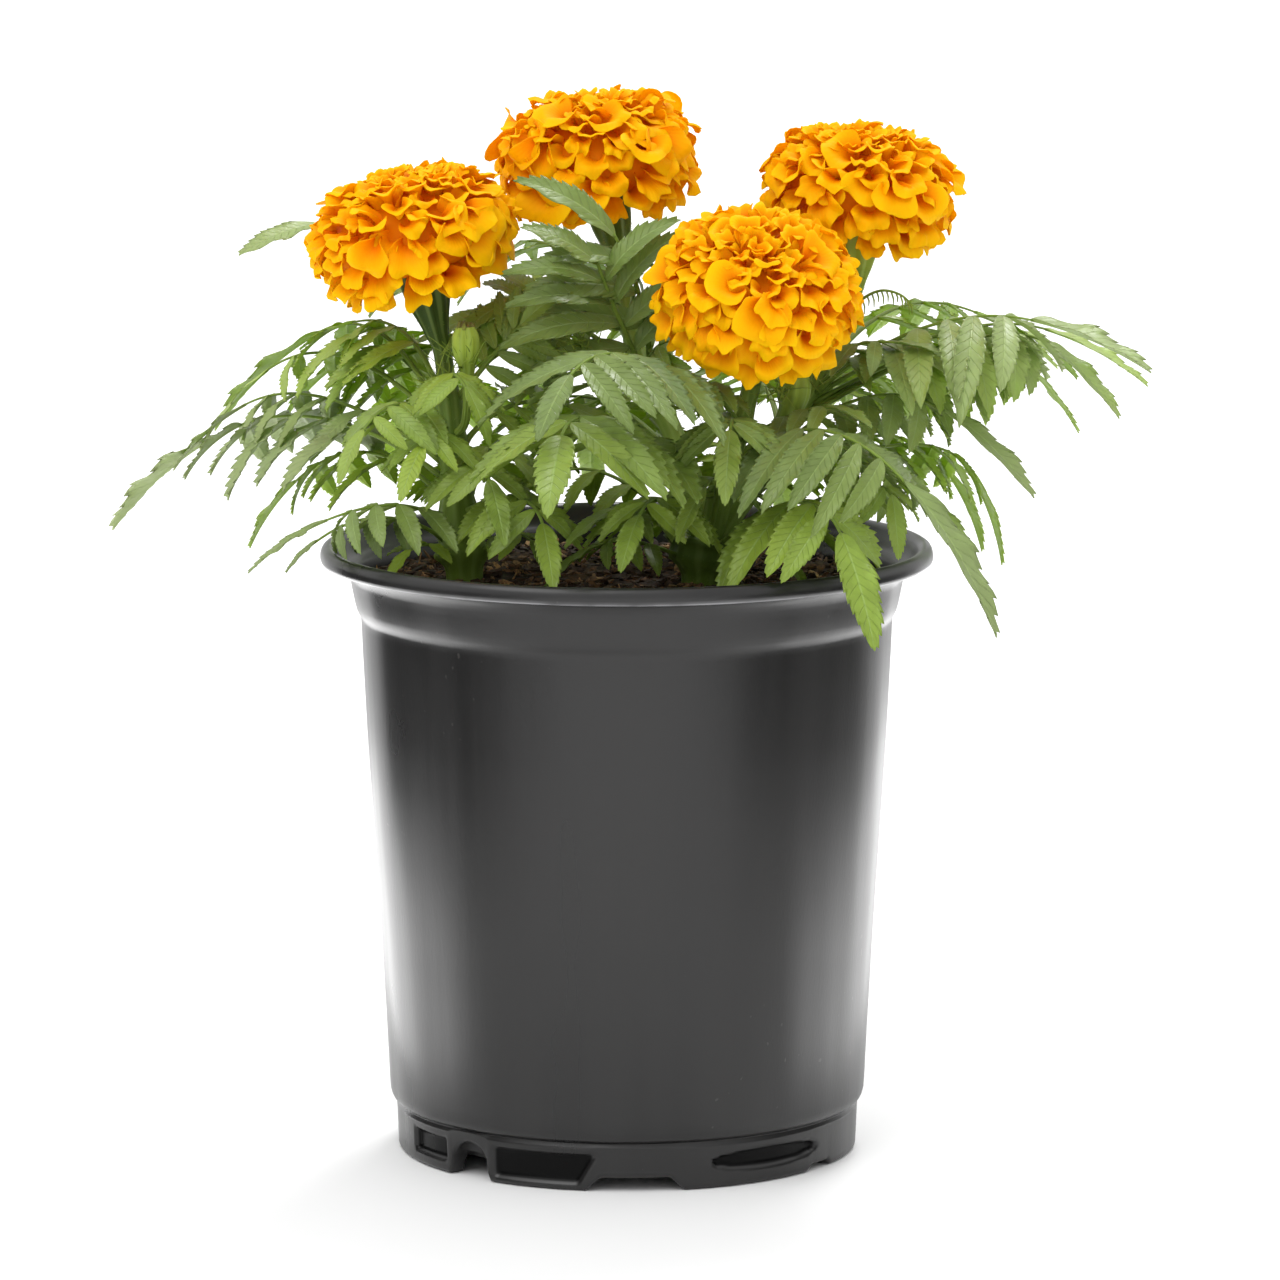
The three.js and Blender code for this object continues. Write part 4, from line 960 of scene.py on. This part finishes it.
def add_rachis(shape, frame_at):
    """A leaf's stalk, grooved along its top."""
    angle = turns(RACHIS_SIDES)
    groove = 0.25 * np.exp(-((angle - math.pi / 2) / 0.5) ** 2)
    rings = []
    for t in np.linspace(0, 1, RACHIS_STATIONS):
        at, _, side, up = frame_at(t)
        taper = (1 - 0.55 * t) * (1 + 0.5 * math.exp(-(t / 0.05) ** 2))
        wide = RACHIS_HALF_WIDTH * 0.85 * taper * np.cos(angle)
        high = RACHIS_DEPTH * 0.5 * taper * (np.sin(angle) - groove)
        rings.append(at + wide[:, None] * side + (high - 0.4 * taper)[:, None] * up)
    rings = np.array(rings)
    shape.add_rings(rings[:, ::-1], ring_data(rings, STEM_TINT)[:, ::-1])


def make_leaf(name, leaf, seed, look, stalk_look):
    """A leaf's blades in pairs and at its end, and its rachis."""
    rng = np.random.default_rng(seed)
    mid, tip = leaf.mid, leaf.tip
    base = beside_stem(leaf.stem, leaf.height, mid, -0.5)
    control = 2 * mid - 0.5 * base - 0.5 * tip

    def frame_at(t):
        at = (1 - t) ** 2 * base + 2 * t * (1 - t) * control + t ** 2 * tip
        along = unit((1 - t) * (control - base) + t * (tip - control))
        side = unit(np.cross(leaf.face, along))
        return at, along, side, np.cross(along, side)

    shape, stalk = Shape(), Shape()
    add_rachis(stalk, frame_at)
    step = LEAFLETS_SPAN / leaf.pairs
    span = np.linalg.norm(mid - base) + np.linalg.norm(tip - mid)
    for i in range(leaf.pairs):
        for hand in leaf.hands:
            t = LEAFLETS_FROM + step * (i + 0.3) + rng.normal(0, 0.006) + hand * 0.006
            at, along, side, up = frame_at(t)
            spread = math.radians(SPREAD_AT_BASE - SPREAD_LOSS * t + rng.normal(0, 4))
            heading = along * math.cos(spread) + side * hand * math.sin(spread)
            rolled = square_to(up + along * (leaf.roll + rng.normal(0, 0.06)), heading)
            size = leaf.longest * (0.55 + 0.45 * math.sin(math.pi * min(1.0, 0.2 + 0.75 * t)))
            size *= 1 + rng.normal(0, 0.035)
            width = min(size * LEAFLET_SLENDERNESS, step * span * math.sin(spread))
            lean = leaf.droop + rng.normal(0, 0.035)
            root = at + side * hand * 0.5
            add_leaflet(shape, rng, root, heading, rolled, size, width, lean, leaf.arch)
    at, along, _, up = frame_at(1.0)
    way = along
    if leaf.end_way:
        way = unit(leaf.end_way)
        up = square_to(END_FACE, way)
    width = leaf.end * LEAFLET_SLENDERNESS
    add_leaflet(shape, rng, at - along, way, up, leaf.end, width, 0.0, leaf.end_arch)
    shape.make(name + "_blades", look, "green_leaf", *([name] if name in LEAVES else []))
    stalk.make(name + "_rachis", stalk_look, "green_leaf")


# ---- blooms

# Form of a head from the crown to the seat: radius, height, room between petals, how far the
# petals reach into the core, how freely they turn.
HEAD_FORM = np.array([
    (0.0, 16.6, 3.0, 5.5, 1.5),
    (5.0, 16.7, 3.3, 6.0, 1.2),
    (11.0, 16.3, 4.3, 7.5, 0.8),
    (17.5, 14.8, 5.8, 8.5, 0.6),
    (23.6, 10.9, 6.8, 9.0, 0.5),
    (27.5, 5.2, 7.2, 9.5, 0.42),
    (28.6, -1.2, 7.4, 9.5, 0.36),
    (27.3, -7.0, 7.5, 9.5, 0.26),
    (24.8, -10.6, 7.5, 10.0, 0.16),
])
BLOOM_SHAPE_RADIUS = 29.3  # of this form, petals included
PETAL_ROWS = np.array([0, 0.13, 0.26, 0.38, 0.49, 0.59, 0.68, 0.76, 0.83, 0.89, 0.94, 0.98, 1.0])
PETAL_COLUMNS = np.sin(np.linspace(-1, 1, 25) * 1.25) / math.sin(1.25)
PETAL_THICKNESS = 0.22
THROAT_RADIUS = 0.8
THROAT_REACH = 2.5  # radians that the folded throat goes round
LOWEST_TILT = 1.45  # radians below level that the lowest petals' axes may turn
TUBE_SHARE = 0.22  # petals that stay narrow funnels
BROAD_SHARE = 0.16  # petals that open wider than their neighbours
# Ranges of how far round a lip goes to either side, in radians.
LIP_REACH, TUBE_REACH, BROAD_REACH = (1.1, 1.5), (1.9, 2.5), (1.6, 2.3)
SKIRT_PETALS = 13
SKIRT_SIZE = (6.4, 7.6)
SKIRT_REACH = (1.2, 1.4)
SKIRT_DEPTH = 17.0
CORE_SIDES = 32
CORE = [
    (0.4, -10.8), (6, -10.6), (13, -9.4), (19.6, -7), (22.6, -2.5), (22, 3), (18.6, 7.8),
    (11, 10.8), (0.4, 11.8),
]


def add_petal(shape, rng, mouth, axis, lip, size, depth, reach, place):
    """A half funnel: a folded throat that flares into a broad, lobed and ruffled lip.

    mouth is the middle of the opening, axis points out of it, and lip is the way that the lip
    hangs; reach is how far round the lip goes, in radians to either side."""
    v, u = PETAL_ROWS[:, None], PETAL_COLUMNS[None, :]
    lobes, shift = rng.uniform(2.2, 3.6), rng.uniform(0, FULL_TURN)
    margin = 1 + 0.05 * np.cos(math.pi * lobes * u + shift) + 0.01 * np.cos(math.pi * 7.3 * u + 2 * shift)
    margin = margin - rng.uniform(0.38, 0.5) * np.abs(u) ** 2.9
    s = v * (1 + (margin - 1) * v ** 2)
    radius = THROAT_RADIUS + (size - THROAT_RADIUS) * s ** rng.uniform(1.5, 1.95)
    forward = depth * (1 - np.clip(1 - s, 0, 1) ** 1.35)
    curl = rng.uniform(0.04, 0.34) * size * smooth(0.76, 1.05, s)
    turn = u * (THROAT_REACH + (reach - THROAT_REACH) * smooth(0.0, 0.8, v))
    waves, phase = rng.uniform(2.3, 4.4), rng.uniform(0, FULL_TURN)
    wave = np.sin(math.pi * waves * u + phase) * (0.75 - 0.4 * u ** 4)
    wave = wave + 0.08 * np.sin(math.pi * 5.3 * u + 2 * phase) * v ** 4
    ruffle = rng.uniform(0.1, 0.21) * size * v ** 2.6 * wave
    bend = rng.normal(0, 0.1)
    radial = radius + 0.35 * ruffle
    point = (mouth + axis * (forward - curl - depth + ruffle)[..., None]
             + lip * (radial * np.cos(turn) + bend * radial * u)[..., None]
             + np.cross(axis, lip) * (radial * np.sin(turn))[..., None])
    face = unit(np.cross(np.gradient(point, axis=0), np.gradient(point, axis=1)))
    data = np.stack(np.broadcast_arrays(u, s, rng.random()), axis=-1)
    outer = data * (1, 0.5, 1) + (0, 0.5, 0)  # the outside of a petal gets only the lighter half of the ramp, without the painted throat shade
    half = PETAL_THICKNESS / 2
    shape.add_sheet(place(point + face * half), place(point - face * half), data, outer)


def arc_lengths(line):
    """Length along a flat line at each of its points."""
    return np.concatenate([[0], np.cumsum(np.hypot(*np.diff(line, axis=0).T))])


def petal_places():
    """Where the petals of a dome stand: radius, height, tilt, room, depth and freedom of each."""
    arc = arc_lengths(HEAD_FORM[:, :2])
    curve = smooth_path(HEAD_FORM[:, :2], 24)
    curve_arc = arc_lengths(curve)
    curve_arc *= arc[-1] / curve_arc[-1]
    slope = np.gradient(curve, axis=0)
    tilts = np.arctan2(-slope[:, 1], slope[:, 0])
    fine = np.linspace(0, arc[-1], 600)
    radius, room = (np.interp(fine, arc, HEAD_FORM[:, k]) for k in (0, 2))
    density = FULL_TURN * radius / room ** 2
    total = np.concatenate([[0], np.cumsum((density[1:] + density[:-1]) / 2 * np.diff(fine))])
    places = []
    for i in range(int(total[-1])):
        at = np.interp(i + 0.5, total, fine)
        r, z, tilt = (np.interp(at, curve_arc, line) for line in (*curve.T, tilts))
        extent = [np.interp(at, arc, HEAD_FORM[:, k]) for k in (2, 3, 4)]
        places.append((r, z, min(tilt, LOWEST_TILT), *extent))
    return places


def add_dome(shape, rng, start, place):
    """The petals of the dome, in a golden spiral from the crown down."""
    for i, (r, z, tilt, room, depth, freedom) in enumerate(petal_places()):
        tilt += rng.normal(0, 0.19)
        outward = flat_way(start + i * GOLDEN_TURN + rng.normal(0, 0.22) * room / max(r, 4))
        down = outward * math.cos(tilt) - UP * math.sin(tilt)
        normal = outward * math.sin(tilt) + UP * math.cos(tilt)
        sway = rng.normal(0, 1) * freedom
        lip = down * math.cos(sway) + np.cross(UP, outward) * math.sin(sway)
        mouth = outward * r + UP * z + normal * rng.normal(-0.2, 0.85)
        size = room * rng.uniform(0.84, 1.3)
        kind, reach = rng.random(), rng.uniform(*LIP_REACH)
        if kind < TUBE_SHARE:
            reach = rng.uniform(*TUBE_REACH)
            size *= 0.78
        elif kind < TUBE_SHARE + BROAD_SHARE:
            reach = rng.uniform(*BROAD_REACH)
            size *= 1.22
            mouth = mouth + normal * 0.9
        add_petal(shape, rng, mouth - lip * size * 0.42, normal, lip, size, depth, reach, place)


def add_skirt(shape, rng, start, place):
    """The ring of petals that hang round the seat."""
    for k in range(SKIRT_PETALS):
        outward = flat_way(start + (k + rng.normal(0, 0.12)) * FULL_TURN / SKIRT_PETALS)
        mouth = outward * (23.4 + rng.normal(0, 0.7)) - UP * (9.2 + rng.normal(0, 0.4))
        normal, lip = unit(outward - UP * 0.12), unit(-UP - outward * 0.12)
        size, reach = rng.uniform(*SKIRT_SIZE), rng.uniform(*SKIRT_REACH)
        add_petal(shape, rng, mouth, normal, lip, size, SKIRT_DEPTH, reach, place)


def make_bloom(name, spec, seed, material):
    centre, axis, radius = spec
    rng = np.random.default_rng(seed)
    up = unit(HEAD_AXES.get(name, axis))
    east = unit(np.cross((0, 1, 0), up))
    basis = np.array([east, np.cross(up, east), up])
    scale = radius / BLOOM_SHAPE_RADIUS

    def place(points):
        return (points * scale) @ basis + np.array(centre)

    shape = Shape()
    start = rng.uniform(0, FULL_TURN)
    add_dome(shape, rng, start, place)
    add_skirt(shape, rng, start, place)
    core = np.array([[r * flat_way(a) + UP * z for a in turns(CORE_SIDES)] for r, z in CORE])
    shape.add_rings(place(core), (0.0, 0.3, 0.5))
    shape.make(name + "_petals", material, "orange_petal", name)


# ---- stage

IMAGE_SIDE = 1280  # pixels of the photograph
FOCAL_PIXELS = 8034.5
SENSOR = 36.0
CAMERA_AT = (0.0, -2.1417, 0.4759)
CAMERA_PITCH = 0.1564  # radians below the horizon
CAMERA_PAN = -0.00166
WORLD_STRENGTH = 1.05
# Suns: place, energy, angle.
SUNS = {"key": ((-0.7, -0.8, 1.5), 1.1, 0.8), "back": ((0.3, 0.9, 1.5), 1.5, 0.3)}
# Lit cards that lie on the floor beside the pot: place across, energy, length.
CARDS = {"card_left": (-0.23, 0.85, 0.56), "card_right": (0.23, 0.9, 0.68)}
# Boards to either side: place across, rear end.
FLAGS = {"flag_left": (-0.34, 0.3), "flag_right": (0.34, 0.22)}
FLAG_FRONT = 0.6
FLAG_TOP = 0.17


def make_camera():
    data = bpy.data.cameras.new("camera")
    data.lens = FOCAL_PIXELS / IMAGE_SIDE * SENSOR
    data.sensor_width = SENSOR
    camera = show("camera", data)
    camera.location = CAMERA_AT
    camera.rotation_euler = (math.pi / 2 - CAMERA_PITCH, 0, CAMERA_PAN)
    bpy.context.scene.camera = camera


def make_stage():
    n = Nodes("pale_floor")
    tone = n.step(n.noise(1.3, 2.0), 0.3, 0.7)
    colour = n.mix(tone, (0.86, 0.86, 0.86), (0.88, 0.88, 0.88))
    material = n.surface(n.principled(Base_Color=colour, Roughness=0.7))
    bpy.ops.mesh.primitive_circle_add(vertices=96, radius=9.0, fill_type="NGON", location=(0, 0, -0.0002))
    floor = bpy.context.object
    floor.name = "floor"
    floor.data.materials.append(material)


def make_lamp(name, kind, at, towards, **settings):
    data = bpy.data.lights.new(name, kind)
    for key, value in settings.items():
        setattr(data, key, value)
    lamp = show(name, data)
    lamp.location = at
    lamp.rotation_euler = (Vector(towards) - Vector(at)).to_track_quat("-Z", "Y").to_euler()


def make_lights():
    world = bpy.data.worlds.new("studio")
    world.use_nodes = True
    background = world.node_tree.nodes["Background"]
    background.inputs[0].default_value = (1, 1, 1, 1)
    background.inputs[1].default_value = WORLD_STRENGTH
    bpy.context.scene.world = world
    for name, (at, energy, angle) in SUNS.items():
        make_lamp(name, "SUN", at, (0, 0, 0), energy=energy, angle=angle)
    for name, (x, energy, length) in CARDS.items():
        y = length / 2 - 0.06
        make_lamp(name, "AREA", (x, y, 0.004), (x, y, 1), shape="RECTANGLE", size=0.2, size_y=length,
                  energy=energy)


def make_flags():
    """Boards to either side, dark at the back and pale in front, seen only in reflections."""
    n = Nodes("flag_board")
    colour = n.mix(n.noise(9.0, 2.0), (0.012, 0.012, 0.012), (0.02, 0.02, 0.02))
    in_front = n.step(n.split(n.where())[1], -FLAG_FRONT, -0.14, 1.0, 0.0)
    colour = n.mix(in_front, colour, (0.85, 0.85, 0.85))
    material = n.surface(n.principled(Base_Color=colour, Roughness=0.9))
    for name, (x, rear) in FLAGS.items():
        corners = [(x, -FLAG_FRONT, 0), (x, rear, 0), (x, rear, FLAG_TOP), (x, -FLAG_FRONT, FLAG_TOP)]
        mesh = bpy.data.meshes.new(name)
        mesh.from_pydata(corners, [], [(0, 1, 2, 3)])
        mesh.materials.append(material)
        flag = show(name, mesh)
        flag.visible_camera = flag.visible_diffuse = flag.visible_shadow = False


# ---- assembly

make_camera()
make_stage()
make_lights()
make_flags()
bpy.context.scene.view_settings.view_transform = "Standard"

stem_look = stem_material()
petal_look = petal_material()
make_pot(pot_material())
make_soil(soil_material())
make_chips(chip_material())
make_stem("stem_left", [("bloom_left", LEFT_STEM)], stem_look)
make_stem("stem_right", [(None, TRUNK), ("bloom_front", FRONT_BRANCH), ("bloom_right", RIGHT_BRANCH),
                         ("bloom_back", BACK_BRANCH)], stem_look)
make_tufts(stem_look)
for bud_name, bud in BUDS.items():
    make_bud(bud_name, bud, stem_look)
for number, (bloom_name, bloom) in enumerate(BLOOMS.items()):
    make_bloom(bloom_name, bloom, 20 + number, petal_look)
looks = {}
for number, (leaf_name, leaf) in enumerate([*LEAVES.items(), *YOUNG_LEAVES.items()]):
    look = f"green_leaf_{round(leaf.tone * 100)}_{round(leaf.frost * 100)}"
    if look not in looks:
        looks[look] = leaf_material(look, leaf.tone, leaf.frost)
    make_leaf(leaf_name, leaf, 100 + number, looks[look], stem_look)
